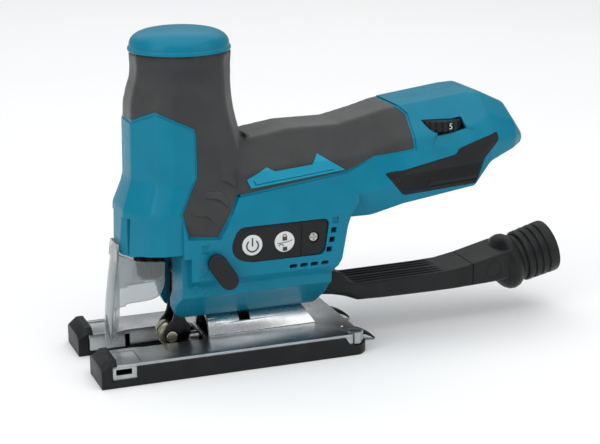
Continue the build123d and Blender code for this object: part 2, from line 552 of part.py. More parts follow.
# ---------------------------------------------------------------- shoe
half_w = SHOE_W / 2
plate_half = half_w - 1.5
plate_plan = make_face(
    Polyline((5.5, SLOT_HALF), (5.5, 36.0), (6.5, plate_half), (142.5, plate_half), (146.0, 33.0),
             (146.0, 12.0),
             (146.0, -12.0), (146.0, -33.0), (142.5, -plate_half), (6.5, -plate_half), (5.5, -36.0),
             (5.5, -SLOT_HALF), (26.0, -SLOT_HALF), (28.0, -14.4), (48.0, -14.4), (SLOT_END, -14.4),
             (SLOT_END, 14.4), (48.0, 14.4), (28.0, 14.4), (26.0, SLOT_HALF), close=True))
plate = Pos(0, 0, SHOE_Z - PLATE_T) * extrude(plate_plan, amount=PLATE_T)
for side in (-1, 1):
    plate += slab(6.5, 142.0, side * (plate_half - PLATE_T), side * plate_half, COVER_T + 0.1, SHOE_Z)
    plate += slab(5.5, 26.0, side * SLOT_HALF, side * (SLOT_HALF + PLATE_T), COVER_T + 0.1, SHOE_Z)
    plate += slab(26.0, 118.0, side * 14.4, side * (14.4 + PLATE_T), COVER_T + 0.1, SHOE_Z - 1.0)
plate -= slab(8.5, 17.5, -plate_half - 1, -plate_half + 6.0, 6.2, 9.6)
plate -= rod_x(GUIDE_X[0], GUIDE_X[1], 0, TILT_Z, GUIDE_R)
plate -= slab(BOLT_X - 9.0, BOLT_X + 9.0, -8.0, 8.0, 0.0, 20.0)
keep("shoe_plate", plate)
guide = rod_x(*GUIDE_X, 0, TILT_Z, GUIDE_R) - rod_x(GUIDE_X[0] - 1, GUIDE_X[1] + 1, 0, TILT_Z,
                                                    GUIDE_R - 2.2)
guide &= slab(*GUIDE_X, -20, 20, SHOE_Z - PLATE_T, 40)
guide -= slab(BOLT_X - 3.2, BOLT_X + 3.2, -11.3, 11.3, 12.5, 40)
keep("bevel_guide", guide)

HORN_SIDE = [(0.0, 0.0), (0.0, 11.2), (4.6, 14.8), (8.2, 14.8), (8.2, SHOE_Z), (5.4, SHOE_Z),
             (5.4, 0.0)]
HORN_END = [(SLOT_HALF, 0.0), (half_w, 0.0), (half_w, 11.6), (half_w - 2.0, 14.8), (17.0, 14.8),
            (SLOT_HALF, 11.2)]
CLAW_LINE = [(146.0, 0.0), (160.0, 0.4), (161.0, 1.6), (152.5, 5.5), (148.6, 7.6), (146.0, 7.6)]
cover = slab(0.0, SHOE_L, -half_w, half_w, 0.0, COVER_T) + slab(146.4, SHOE_L, -half_w, half_w, 0.0,
                                                                7.6)
for side in (-1, 1):
    cover += slab(19.5, 136.0, side * (plate_half + 0.05), side * half_w, 0.0, SHOE_Z - 1.2)
    cover += slab(136.0, 147.0, side * (plate_half + 0.05), side * half_w, 0.0, 5.6)
    cover += slab(0.0, 19.5, side * (plate_half + 0.05), side * half_w, 0.0, 3.4)
    horn = end_prism([(side * y, z) for y, z in HORN_END], 0.0, 8.2)
    cover += horn & side_prism(HORN_SIDE, -40, 40)
    cover += side_prism(CLAW_LINE, side * 16.5, side * 20.5)
cover -= slab(-1.0, SLOT_END, -SLOT_HALF, SLOT_HALF, -1.0, 20.0)
cover -= slab(BOLT_X - 9.0, BOLT_X + 9.0, -8.0, 8.0, -1.0, 20.0)
for side in (-1, 1):
    cover -= Pos(SHOE_L, side * half_w, 0) * Rot(0, 0, 45) * Box(8, 8, 60)
keep("sole_cover", cover)

# Clamp bolt of the bevel guide, its washer inside the guide and the nut plate in the housing.
keep("base_bolt", rod_z(21.0, 26.4, BOLT_X, 0, 2.5) + rod_z(17.2, 21.2, BOLT_X, 0, 4.4)
     - Pos(BOLT_X, 0, 17.0) * extrude(RegularPolygon(2.0, 6), amount=2.4))

# ---------------------------------------------------------------- dust duct
DUCT_LINE = [(131.6, 26.5, 41.0), (145.5, 24.0, 37.0), (151.5, 21.3, 32.0), (212.0, 21.3, 32.2),
             (224.0, 21.9, 34.6)]
TAIL_LINE = [(224.1, 21.9, 34.6), (244.0, 22.8, 38.4), (256.0, 22.8, 39.6)]
DUCT_WALL = 2.0


def duct_solid(stations, inset):
    """Flat duct with bevelled edges: each station gives x, underside and top."""
    faces = []
    for index, (x, low, top) in enumerate(stations):
        if inset and index in (0, len(stations) - 1):
            x += 1.0 if index else -1.0
        side = [(9.0 - inset, low + inset), (DUCT_HALF - inset, low + 5.0),
                (DUCT_HALF - inset, top - 4.0),
                (DUCT_HALF - 3.5, top - inset)]
        faces.append(make_face(Polyline(*[(x, y, z) for y, z in mirrored(side)], close=True)))
    return loft(faces, ruled=True)


keep("dust_duct", duct_solid(DUCT_LINE, 0) - duct_solid(DUCT_LINE, DUCT_WALL))
axis = Pos(*CUFF_AT) * Rot(0, 90 - CUFF_TILT, 0)
tail = duct_solid(TAIL_LINE, 0) + Pos(*CUFF_AT) * Sphere(16.4)
tail -= axis * Pos(0, 0, 3.0) * extrude(Circle(40), amount=40)
tail -= duct_solid(TAIL_LINE[:2], DUCT_WALL)
tail -= axis * Pos(0, 0, -10.0) * extrude(Circle(CUFF_BORE), amount=40)
NECK_R = 13.6            # spigot on which the cuff turns
neck = axis * Pos(0, 0, 1.0) * extrude(Circle(NECK_R), amount=8.0)
tail += neck - axis * Pos(0, 0, -4.0) * extrude(Circle(CUFF_BORE - 0.9), amount=30)
keep("duct_tail", tail)
cuff = axis * Pos(0, 0, 3.0 + GAP) * extrude(Circle(CUFF_R), amount=CUFF_L - 3.0 - GAP)
cuff -= axis * extrude(Circle(CUFF_BORE), amount=60)
cuff -= axis * extrude(Circle(NECK_R + FIT), amount=9.3)
for groove in (7.0, 11.5, 16.0):
    ring = extrude(Circle(CUFF_R + 1), amount=1.3) - extrude(Circle(CUFF_R - 1.2), amount=1.3)
    cuff -= axis * Pos(0, 0, groove) * ring
keep("hose_cuff", cuff)

# ---------------------------------------------------------------- write the pieces
os.makedirs("parts", exist_ok=True)
for name, shape in pieces.items():
    export_step(Pos(-TOTAL_L / 2, 0, 0) * shape, "parts/" + name + ".step")
print("overall length", round(TOTAL_L, 3), "gear axis height", GEAR_Z)
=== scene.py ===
import math

import bmesh
import bpy
from mathutils import Matrix, Vector


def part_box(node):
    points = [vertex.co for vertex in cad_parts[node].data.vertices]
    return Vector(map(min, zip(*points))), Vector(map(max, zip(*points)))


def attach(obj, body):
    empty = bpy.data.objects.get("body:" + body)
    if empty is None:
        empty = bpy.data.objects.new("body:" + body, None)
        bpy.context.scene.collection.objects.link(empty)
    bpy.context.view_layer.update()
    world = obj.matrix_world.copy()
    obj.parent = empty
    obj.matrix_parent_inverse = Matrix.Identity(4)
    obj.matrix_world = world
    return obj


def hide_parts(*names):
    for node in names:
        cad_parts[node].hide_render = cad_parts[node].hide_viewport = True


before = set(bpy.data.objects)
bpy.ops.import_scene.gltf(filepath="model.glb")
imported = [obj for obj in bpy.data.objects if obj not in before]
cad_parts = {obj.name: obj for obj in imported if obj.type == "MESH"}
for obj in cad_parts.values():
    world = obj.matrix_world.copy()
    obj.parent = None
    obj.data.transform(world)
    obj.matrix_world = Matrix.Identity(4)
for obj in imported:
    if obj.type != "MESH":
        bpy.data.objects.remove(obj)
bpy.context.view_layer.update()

# ------------------------------------------------------------------ studio
# A plain pale floor, a white surround and four soft boxes. The camera stands in front of
# the tool's left side, a little above it, and nearer to its nose than to its rear.
MM = 0.001
shoe_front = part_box("sole_cover")[0].x


def spot(x, y, z):
    """A place on the tool in metres: x from the front of the shoe, y across, z up from the floor."""
    return Vector((shoe_front + x * MM, y * MM, z * MM))


scene = bpy.context.scene
scene.view_settings.view_transform = "Standard"
world = bpy.data.worlds.new("studio")
world.use_nodes = True
world.node_tree.nodes["Background"].inputs[0].default_value = (0.97, 0.985, 1.0, 1)
world.node_tree.nodes["Background"].inputs[1].default_value = 0.36
scene.world = world

camera = bpy.data.objects.new("camera", bpy.data.cameras.new("camera"))
camera.data.lens = 93.53
camera.data.sensor_width = 36
camera.data.clip_start = 0.05
camera.location = spot(-172.55, -770.22, 304.29)
aim = spot(123.48, 0, 66.82) - camera.location
camera.rotation_euler = aim.to_track_quat("-Z", "Y").to_euler()
scene.collection.objects.link(camera)
scene.camera = camera


def soft_box(name, place, target, size, watts):
    """A rectangular studio lamp of a size in metres, turned towards a target."""
    light = bpy.data.objects.new(name, bpy.data.lights.new(name, "AREA"))
    light.data.shape = "RECTANGLE"
    light.data.size = size[0]
    light.data.size_y = size[1]
    light.data.energy = watts
    light.location = place
    light.rotation_euler = (Vector(target) - Vector(place)).to_track_quat("-Z", "Y").to_euler()
    scene.collection.objects.link(light)


soft_box("top_light", (-0.15, -0.35, 1.6), (0, 0, 0.05), (2.6, 2.2), 26)
soft_box("floor_wash", (0.3, 1.5, 1.4), (0.2, 1.3, 0), (3.0, 1.4), 12)
soft_box("front_light", (-1.2, -0.6, 0.6), (-0.05, 0, 0.09), (0.6, 0.9), 4.5)
soft_box("side_light", (0.9, -1.1, 0.6), (0.03, 0, 0.08), (0.8, 0.8), 2.5)


def shader(name):
    """A new material with its Principled shader, and the two."""
    material = bpy.data.materials.new(name)
    material.use_nodes = True
    return material, material.node_tree.nodes["Principled BSDF"]


def grain(material, size, low, high, stretch=(1, 1, 1), detail=4):
    """Noise in object space, of a size in mm, remapped to run from low to high."""
    nodes = material.node_tree.nodes
    links = material.node_tree.links
    place = nodes.new("ShaderNodeTexCoord")
    scale = nodes.new("ShaderNodeMapping")
    scale.inputs["Scale"].default_value = stretch
    noise = nodes.new("ShaderNodeTexNoise")
    noise.inputs["Scale"].default_value = 1 / (size * MM)
    noise.inputs["Detail"].default_value = detail
    span = nodes.new("ShaderNodeMapRange")
    span.inputs["From Min"].default_value = 0.3
    span.inputs["From Max"].default_value = 0.7
    span.inputs["To Min"].default_value = low
    span.inputs["To Max"].default_value = high
    links.new(place.outputs["Object"], scale.inputs[0])
    links.new(scale.outputs[0], noise.inputs[0])
    links.new(noise.outputs[0], span.inputs[0])
    return span.outputs[0]


def tint(material, surface, factor, dark, light):
    """Base colour that wanders between two close shades."""
    mix = material.node_tree.nodes.new("ShaderNodeMix")
    mix.data_type = "RGBA"
    mix.inputs[6].default_value = (*dark, 1)
    mix.inputs[7].default_value = (*light, 1)
    material.node_tree.links.new(factor, mix.inputs[0])
    material.node_tree.links.new(mix.outputs[2], surface.inputs["Base Color"])


floor_paint, floor_surface = shader("floor_paint")
tint(floor_paint, floor_surface, grain(floor_paint, 400, 0, 1), (0.93, 0.935, 0.94), (0.95, 0.95, 0.95))
floor_surface.inputs["Roughness"].default_value = 0.85
floor_surface.inputs["Specular IOR Level"].default_value = 0.1
bpy.ops.mesh.primitive_plane_add(size=12, location=(0, 0, -0.0002))
floor = bpy.context.object
floor.name = "floor"
floor.data.materials.append(floor_paint)

# ------------------------------------------------------------------ shoe
# The shoe is a pressed, zinc-plated steel plate with rolled edges, spot-welded to a bright
# half-round bevel guide. A black moulded cover is clipped over its sole and wraps its sides.
SHOE_TOP = 11.5          # top of the metal plate
SHOE_HALF = 38.5         # half the width of the shoe
COVER_INSIDE = 37.05     # inner face of the cover's side walls
CORNER_Y = 33            # where the rear corners begin, out from the middle
SLOT_HALF = 12.85        # half the gap between the two horns
SHOE_LONG = 149.7        # length of the shoe
TILT_Z = 11.0            # height of the axis on which the shoe tilts
CLAW_Y = 18.5            # place of the rear claws, out from the middle


def relief(material, surface, height, depth, edge=0.25):
    """Bump of a depth in mm over softly rounded edges, onto the shader's normal."""
    nodes = material.node_tree.nodes
    links = material.node_tree.links
    round_edge = nodes.new("ShaderNodeBevel")
    round_edge.samples = 4
    round_edge.inputs["Radius"].default_value = edge * MM
    bump = nodes.new("ShaderNodeBump")
    bump.inputs["Distance"].default_value = depth * MM
    bump.inputs["Strength"].default_value = 1
    links.new(round_edge.outputs[0], bump.inputs["Normal"])
    links.new(height, bump.inputs["Height"])
    links.new(bump.outputs[0], surface.inputs["Normal"])


def moulded(name, dark, light, rough, grain_mm, grain_depth, edge=0.25, sheen=0.0):
    """Injection moulded plastic or rubber: spark-eroded grain, slow colour drift, uneven gloss."""
    material, surface = shader(name)
    tint(material, surface, grain(material, 14, 0, 1), dark, light)
    links = material.node_tree.links
    links.new(grain(material, 5, rough - 0.04, rough + 0.05), surface.inputs["Roughness"])
    relief(material, surface, grain(material, grain_mm, 0, 1, detail=2), grain_depth, edge)
    surface.inputs["Specular IOR Level"].default_value = 0.18
    surface.inputs["Sheen Weight"].default_value = sheen
    surface.inputs["Sheen Roughness"].default_value = 0.5
    return material


def metal(name, dark, light, rough, stretch=(1, 1, 1), depth=0.004, edge=0.3):
    """Metal with a directional polish: fine scratches along one axis and slow stains."""
    material, surface = shader(name)
    tint(material, surface, grain(material, 9, 0, 1), dark, light)
    surface.inputs["Metallic"].default_value = 1
    links = material.node_tree.links
    links.new(grain(material, 1.2, rough - 0.07, rough + 0.08, stretch), surface.inputs["Roughness"])
    relief(material, surface, grain(material, 0.5, 0, 1, stretch), depth, edge)
    return material


def new_piece(name, bm):
    """Turn a bmesh in mm into an object in metres."""
    mesh = bpy.data.meshes.new(name)
    bm.to_mesh(mesh)
    bm.free()
    mesh.transform(Matrix.Translation((shoe_front, 0, 0)) @ Matrix.Scale(MM, 4))
    piece = bpy.data.objects.new(name, mesh)
    scene.collection.objects.link(piece)
    return piece


def loft(name, rings, closed=False):
    """Skin over rings of equally many points, with both ends filled unless the row of rings is closed."""
    bm = bmesh.new()
    rows = [[bm.verts.new(p) for p in ring] for ring in rings]
    count = len(rings[0])
    last = len(rows) if closed else len(rows) - 1
    for i in range(last):
        a = rows[i]
        b = rows[(i + 1) % len(rows)]
        for j in range(count):
            k = (j + 1) % count
            bm.faces.new((a[j], a[k], b[k], b[j]))
    if not closed:
        bm.faces.new(rows[0][::-1])
        bm.faces.new(rows[-1])
    bmesh.ops.recalc_face_normals(bm, faces=bm.faces)
    return new_piece(name, bm)


def side_solid(name, points, y0, y1):
    """Outline in x and z, as thick as y0 to y1."""
    return loft(name, [[(x, y0, z) for x, z in points], [(x, y1, z) for x, z in points]])


def plan_solid(name, points, z0, z1):
    """Outline in x and y, as high as z0 to z1."""
    return loft(name, [[(x, y, z0) for x, y in points], [(x, y, z1) for x, y in points]])


def end_solid(name, points, x0, x1):
    """Outline in y and z, as long as x0 to x1."""
    return loft(name, [[(x0, y, z) for y, z in points], [(x1, y, z) for y, z in points]])


def block(name, x0, x1, y0, y1, z0, z1):
    """A cutting or filling block between two places on each axis."""
    return plan_solid(name, [(x0, y0), (x1, y0), (x1, y1), (x0, y1)], z0, z1)


def lathe(name, profile, centre, axis, steps=48, sweep=360.0):
    """Turn a closed profile of (along, radius) about an axis through centre."""
    axis = Vector(axis).normalized()
    side = axis.orthogonal().normalized()
    other = axis.cross(side)
    rings = []
    turns = steps if sweep == 360.0 else steps + 1
    for i in range(turns):
        turn = math.radians(sweep) * i / steps
        out = side * math.cos(turn) + other * math.sin(turn)
        rings.append([Vector(centre) + axis * along + out * r for along, r in profile])
    return loft(name, rings, closed=sweep == 360.0)


def rounded(points, radius, steps=4):
    """Closed outline with each corner replaced by a short curve that starts radius before it."""
    outline = []
    count = len(points)
    radii = radius if isinstance(radius, (list, tuple)) else [radius] * count
    for i in range(count):
        corner = Vector(points[i])
        before = Vector(points[i - 1]) - corner
        after = Vector(points[(i + 1) % count]) - corner
        start = corner + before.normalized() * min(radii[i], before.length * 0.49)
        end = corner + after.normalized() * min(radii[i], after.length * 0.49)
        for step in range(steps + 1):
            t = step / steps
            outline.append(tuple(start * (1 - t) ** 2 + corner * 2 * t * (1 - t) + end * t * t))
    return outline


def settle(piece):
    """Make a piece's modifiers part of its mesh."""
    graph = bpy.context.evaluated_depsgraph_get()
    mesh = bpy.data.meshes.new_from_object(piece.evaluated_get(graph))
    piece.modifiers.clear()
    piece.data = mesh
    return piece


def join(piece, others):
    """Add other meshes' faces to a piece without cutting them together."""
    bm = bmesh.new()
    bm.from_mesh(piece.data)
    for other in others:
        bm.from_mesh(other.data)
        bpy.data.objects.remove(other)
    bm.to_mesh(piece.data)
    bm.free()
    return piece


def carve(piece, tool, how="DIFFERENCE"):
    """Cut a piece with a tool, or fuse them, or keep what they share."""
    cut = piece.modifiers.new("cut", "BOOLEAN")
    cut.operation = how
    cut.solver = "EXACT"
    cut.use_self = how == "UNION"
    cut.object = tool
    settle(piece)
    bpy.data.objects.remove(tool)
    return piece


def round_edges(piece, width, segments=3, angle=30):
    """Round a piece's edges that turn by more than an angle, to a width in mm."""
    soften = piece.modifiers.new("edges", "BEVEL")
    soften.width = width * MM
    soften.segments = segments
    soften.limit_method = "ANGLE"
    soften.angle_limit = math.radians(angle)
    soften.miter_outer = "MITER_ARC"
    return settle(piece)


def finish_piece(piece, material, body, nodes=(), sharp=32):
    """Shade, paint and mount a piece, and hide the CAD nodes it stands for."""
    piece.data.shade_smooth()
    piece.data.set_sharp_from_angle(angle=math.radians(sharp))
    piece.data.materials.clear()
    piece.data.materials.append(material)
    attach(piece, body)
    if nodes:
        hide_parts(*nodes)
    return piece


sole_black = moulded("sole_black", (0.010, 0.011, 0.0115), (0.014, 0.015, 0.0155), 0.42, 0.5, 0.02, 0.4)
shoe_zinc = metal("shoe_zinc", (0.38, 0.4, 0.41), (0.5, 0.52, 0.53), 0.3, (1, 14, 14))
guide_bright = metal("guide_bright", (0.68, 0.69, 0.7), (0.8, 0.81, 0.82), 0.26, (1, 16, 16))

cover = plan_solid("sole_cover_skin", rounded([(0, -SHOE_HALF), (144.5, -SHOE_HALF), (SHOE_LONG, -CORNER_Y),
    (SHOE_LONG, CORNER_Y), (144.5, SHOE_HALF), (0, SHOE_HALF), (0, SLOT_HALF), (64, SLOT_HALF),
    (64, -SLOT_HALF), (0, -SLOT_HALF)], [3, 2.5, 2.5, 2.5, 2.5, 3, 1, 5, 5, 1]), 0, 2.2)
walls = []
for side in (-1, 1):
    wall = plan_solid("wall", rounded([(19, side * SHOE_HALF), (144.5, side * SHOE_HALF),
        (SHOE_LONG, side * CORNER_Y), (SHOE_LONG, side * 12), (147.2, side * 12), (147.2, side * 32.2),
        (143.6, side * COVER_INSIDE), (19, side * COVER_INSIDE)], [0.4, 2.5, 2.5, 0.5, 0.5, 1.5, 1.5, 0.4]),
        1.5, 10.2)
    carve(wall, side_solid("wall_dip", [(134.5, 12), (138.5, 5.6), (160, 5.6), (160, 12)], -50, 50))
    lip = block("lip", 3, 20, side * COVER_INSIDE, side * SHOE_HALF, 1.0, 3.4)
    horn = loft("horn", [[(x, side * y, z) for y, z in ((SLOT_HALF, 0), (SHOE_HALF, 0), (SHOE_HALF, low),
        (36.6, high), (16.6, high), (SLOT_HALF, low))] for x, low, high in ((0, 9.6, 11.0), (4.4, 11.9, 14.8),
        (5.4, 11.9, 14.8))])
    roof = end_solid("roof", [(side * SLOT_HALF, 11.5), (side * SHOE_HALF, 11.5), (side * SHOE_HALF, 11.9),
        (side * 36.6, 14.8), (side * 16.6, 14.8), (side * SLOT_HALF, 11.9)], 5.3, 8.2)
    claw = loft("claw", [[(x, side * (CLAW_Y + w), z), (x, side * (CLAW_Y - w), z),
        (x, side * (CLAW_Y - w), z + t), (x, side * (CLAW_Y + w), z + t)] for x, w, z,
        t in ((146.5, 2.6, 2.0, 5.6), (150.5, 2.4, 4.6, 3.2), (154.5, 2.1, 4.0, 2.2), (158.0, 1.6, 2.2, 1.8),
        (160.9, 0.8, 0.1, 1.2))])
    walls += [wall, lip, horn, roof, claw]
for wall in walls:
    carve(cover, wall, "UNION")
carve(cover, block("bolt_hole", 78, 96, -8, 8, -1, 5))
round_edges(cover, 0.7, 3, 34)
finish_piece(cover, sole_black, "shoe", ["sole_cover"])

plate = plan_solid("shoe_plate_skin", rounded(
    [(5.7, -36.6), (141.5, -36.9), (146, -32), (146, -14), (146, 14), (146, 32), (141.5, 36.9), (5.7, 36.6),
     (5.7, 13.2), (24, 13.2), (28, 14.6), (64, 14.6), (64, -14.6), (28, -14.6), (24, -13.2), (5.7, -13.2)],
    [1, 3, 3, 6, 6, 3, 3, 1, 1, 2, 2, 4, 4, 2, 2, 1], 5), 9.2, SHOE_TOP)
for side in (-1, 1):
    carve(plate, block("front_tab", 4, 22.4, side * 16.5, side * 33.8, 10.7, 13))
    carve(plate, block("flange", 6.2, 141, side * 35.0, side * 36.95, 2.4, 10.5), "UNION")
    carve(plate, plan_solid("corner_clip", [(138.6, side * 32.6), (142.4, side * 29.6), (147.6, side * 33.6),
        (144.0, side * 38.2), (140.6, side * 38.2)], 6.4, 12.6), "UNION")
    carve(plate, block("inner_flange", 6.2, 26, side * 13.25, side * 15.0, 2.4, 10.5), "UNION")
    carve(plate, block("slot_flange", 29, 62, side * 14.65, side * 16.6, 2.4, 10.5), "UNION")
carve(plate, block("clip_slot", 8.0, 16.4, -38, -34, 6.2, 9.3))
carve(plate, lathe("seat", [(66, 0), (66, 13.4), (128, 13.4), (128, 0)], (0, 0, TILT_Z), (1, 0, 0), 40))
round_edges(plate, 1.3, 4, 40)
for x, y in ((17.5, -26), (17.5, 26), (139.5, -23.5), (139.5, 23.5)):
    carve(plate, lathe("dimple", [(10.9, 0), (10.9, 1.1), (11.5, 1.7), (12.5, 1.7), (12.5, 0)], (x, y, 0),
        (0, 0, 1), 20))
finish_piece(plate, shoe_zinc, "shoe", ["shoe_plate"])



def guide_arc(radius, degrees):
    """Points of an arc about the tilting axis, in y and z."""
    turns = [math.radians(a) for a in degrees]
    return [(radius * math.cos(t), TILT_Z + radius * math.sin(t)) for t in turns]


guide_line = [(14.2, 9.6), (14.2, 12.2), (13.5, 12.6)] + guide_arc(13.45, range(8, 173, 6))
guide_line += [(-13.5, 12.6), (-14.2, 12.2), (-14.2, 9.6), (-12.2, 9.6)]
guide_line += guide_arc(11.2, range(172, 7, -6)) + [(12.2, 9.6)]
guide = end_solid("bevel_guide_skin", guide_line, 66.0, 128.0)
carve(guide, block("bolt_slot", 83.8, 90.2, -11.2, 11.2, 13, 26))
carve(guide, side_solid("end_slant", [(118.6, 26), (127.0, 13.0), (127.0, 9.0), (130, 9.0), (130, 26)], -20,
    20))
# Engraved marks every 15 degrees of tilt, each second one short.
for i in range(9):
    mark = block("mark", 66.5, 70.5 if i % 2 else 73.0, -0.22, 0.22, 13.1, 14.2)
    turn = Matrix.Rotation(math.radians((i - 4) * 15), 4, "X")
    mark.data.transform(Matrix.Translation((0, 0, TILT_Z * MM)) @ turn)
    carve(guide, mark)
round_edges(guide, 0.4, 2, 50)
finish_piece(guide, guide_bright, "shoe", ["bevel_guide"], 25)

# ------------------------------------------------------------------ housing shells
# Two nylon clamshells, glass filled and teal, screwed together along the middle of the tool. The
# moulding is crisp and faceted round the nose, and is left open where the soft grip is moulded on.
WALL = 2.6               # thickness of the shells
END_WALL = 3.0           # how far a room stops short of a closed end
HALF_GAP = 0.04          # half the parting gap between the shells
# The column's levels: height, front, back, half width, and half width of the front facet.
COLUMN = [
    (166.9, 30.8, 82.4, 22.8, 8.0),
    (159.0, 31.4, 82.0, 20.0, 8.0),
    (153.5, 30.8, 82.0, 20.8, 8.0),
    (147.5, 28.4, 82.2, 24.0, 8.5),
    (140.0, 26.8, 82.6, 26.0, 9.0),
    (132.0, 26.6, 84.0, 27.0, 9.0),
    (102.0, 26.2, 92.0, 27.8, 9.0),
    (97.5, 25.0, 92.0, 28.6, 9.3),
    (86.5, 20.9, 92.0, 32.0, 11.0),
    (62.0, 19.6, 92.0, 32.6, 11.0),
]
# The barrel's stations: x, bottom, top, and the half widths of the base, side, shoulder and crown.
BARREL = [
    (80.0, 70.0, 119.0, 20.0, 27.5, 27.5, 15.0),
    (112.0, 71.5, 124.0, 20.0, 28.0, 28.0, 14.0),
    (140.0, 72.5, 124.0, 20.0, 28.5, 28.0, 14.0),
    (156.0, 74.0, 127.5, 25.0, 32.0, 28.0, 14.0),
    (170.0, 82.0, 131.0, 36.5, 36.8, 30.0, 15.0),
    (212.0, 88.0, 136.0, 36.5, 36.8, 31.0, 16.0),
    (222.0, 100.0, 136.5, 35.0, 35.5, 30.0, 16.0),
    (239.0, 105.0, 128.5, 29.0, 31.0, 27.0, 14.0),
    (246.8, 106.5, 115.0, 22.0, 24.0, 23.0, 12.0),
]
# Outline of the opening for the soft grip, in x and z.
GRIP_LINE = [(10, 180), (10, 133), (26.6, 133), (37, 139), (55.9, 130), (56.9, 126), (56.9, 104),
    (47.5, 86.5), (50.5, 74.5), (66, 73), (78, 93), (139, 101), (155, 108), (177, 111), (177, 127),
    (166, 138), (166, 180)]


def mirror_points(points):
    """An outline and its mirror image, as one closed line."""
    return points + [(-a, b) for a, b in reversed(points)]


def column_ring(z, front, back, half, facet, inset=0.0):
    """One faceted level of the column, set in from its surface."""
    front += inset
    back -= inset
    half -= inset
    side = [(front, facet - 0.4 * inset), (front + 10.4, half - 5.5), (front + 18.2, half - 1.2),
        (back - 18, half - 0.6), (back - 7, 0.75 * half), (back, 0.35 * half)]
    return [(x, y, z) for x, y in side] + [(x, -y, z) for x, y in reversed(side)]


def barrel_ring(x, low, top, base, wide, shoulder, crown, inset=0.0):
    """One faceted station of the barrel, set in from its surface."""
    low += inset
    top -= inset
    height = top - low
    side = [(base - inset, low), (wide - inset, low + 0.3 * height), (shoulder - inset, low + 0.68 * height),
            (crown - 0.4 * inset, top)]
    return [(x, y, z) for y, z in mirror_points(side)]


def column_core(name, inset, floor=0.0):
    """The column set in from its surface, short of its roof, and above its floor by a distance."""
    ends = {COLUMN[0][0]: -END_WALL, COLUMN[-1][0]: floor}
    return loft(name, [column_ring(z + ends.get(z, 0), *level, inset) for z, *level in COLUMN])


def barrel_core(name, inset, stations=BARREL):
    """The barrel set in from its surface."""
    return loft(name, [barrel_ring(*station, inset=inset) for station in stations])


def lower_body():
    """The block under the barrel: what its side outline and its cross-section share."""
    side = side_solid("lower_side", [(47, 66), (47, 39.6), (45.6, 35.4), (45.6, 31), (47.5, 26.5), (52, 23.4),
        (127.5, 22.6), (131, 31), (131, 47), (135.3, 54), (138.5, 72), (140.5, 78), (146, 84), (146, 98),
        (47, 98)], -40, 40)
    half = [(9, 22.7), (12.5, 25.4), (25.2, 38.1), (28.4, 40.2), (28.4, 45.4), (29.2, 46.2), (33, 50.5),
        (33, 78.5), (26.5, 97)]
    return carve(side, end_solid("lower_cross", mirror_points(half), 40, 146), "INTERSECT")


def mirrored_piece(name, piece):
    """The same piece for the other side of the tool."""
    bm = bmesh.new()
    bm.from_mesh(piece.data)
    bmesh.ops.scale(bm, vec=(1, -1, 1), verts=bm.verts)
    bmesh.ops.reverse_faces(bm, faces=bm.faces)
    mesh = bpy.data.meshes.new(name)
    bm.to_mesh(mesh)
    bm.free()
    other = bpy.data.objects.new(name, mesh)
    scene.collection.objects.link(other)
    return other


def pill(name, x, z, radius, y0, y1):
    """A round pin lying across the tool, from y0 to y1."""
    return lathe(name, [(y0, 0), (y0, radius), (y1, radius), (y1, 0)], (x, 0, z), (0, 1, 0), 32)


def part_halves(piece, left_name, right_name, gap):
    """Part a piece along the middle of the tool, with a gap left on each side of it."""
    twin = piece.copy()
    twin.data = piece.data.copy()
    scene.collection.objects.link(twin)
    carve(twin, block("right_half", -20, 300, gap, 60, -5, 200), "INTERSECT")
    carve(piece, block("left_half", -20, 300, -60, -gap, -5, 200), "INTERSECT")
    piece.name = left_name
    twin.name = right_name
    return twin


UP = (0, 0, 1)
ALONG = (1, 0, 0)
ACROSS = (0, 1, 0)
PLUNGER_AXIS = (37, 0, 0)
DIAL_AXIS = (197, -18.6, 0)
teal_nylon = moulded("teal_nylon", (0.001, 0.168, 0.262), (0.002, 0.188, 0.292), 0.34, 0.7, 0.025, 0.45)
shell = round_edges(loft("column", [column_ring(*level) for level in COLUMN]), 0.9, 3, 12)
carve(shell, round_edges(barrel_core("barrel", 0), 1.6, 4, 14), "UNION")
carve(shell, round_edges(lower_body(), 1.0, 3, 25), "UNION")
room = column_core("room", WALL, END_WALL)
carve(room, barrel_core("barrel_room", WALL, BARREL[:-1] + [(BARREL[-1][0] - END_WALL, *BARREL[-1][1:])]),
    "UNION")
carve(room, end_solid("lower_room", mirror_points([(24, 47), (30, 53), (30, 78), (24, 92)]), 54, 131),
    "UNION")
carve(shell, room)
# The nose is open below, with room for the clamp, the roller holder and the guard's wings.
mouth = loft("mouth", [column_ring(z, *COLUMN[-1][1:], WALL) for z in (58.0, 66.0)])
carve(mouth, block("mouth_limit", 15, 46.8, -24, 24, 50, 75), "INTERSECT")
carve(shell, mouth)
carve(shell, lathe("clamp_room", [(15, 0), (15, 12.5), (66, 12.5), (66, 0)], PLUNGER_AXIS, UP, 40))
carve(shell, block("holder_room", 44, 56.5, -8.8, 8.8, 15, 66))
carve(shell, block("roller_room", 40, 61, -9, 9, 15, 32))
for side in (-1, 1):
    carve(shell, block("notch", 40, 51.0, side * 28.6, side * 40, 33, 63.0))
    carve(shell, end_solid("nose_edge", [(side * 10.5, 61), (side * 22, 64.0), (side * 36, 65.6),
        (side * 36, 56), (side * 10.5, 56)], 10, 46.9))
    carve(shell, loft("guard_slot", [[(x, side * y, z) for x, y in ((f + 0.1, 7.9), (f + 1.6, 11.3),
        (f + 3.0, 14.0), (f + 4.4, 15.2), (29.5, 15.2), (29.5, 12.6), (22.5, 11.9), (21.3, 9.4), (19.8, 6.5),
        (18.4, 5.4))] for z, f in ((60, 15.0), (82.6, 17.4))]))
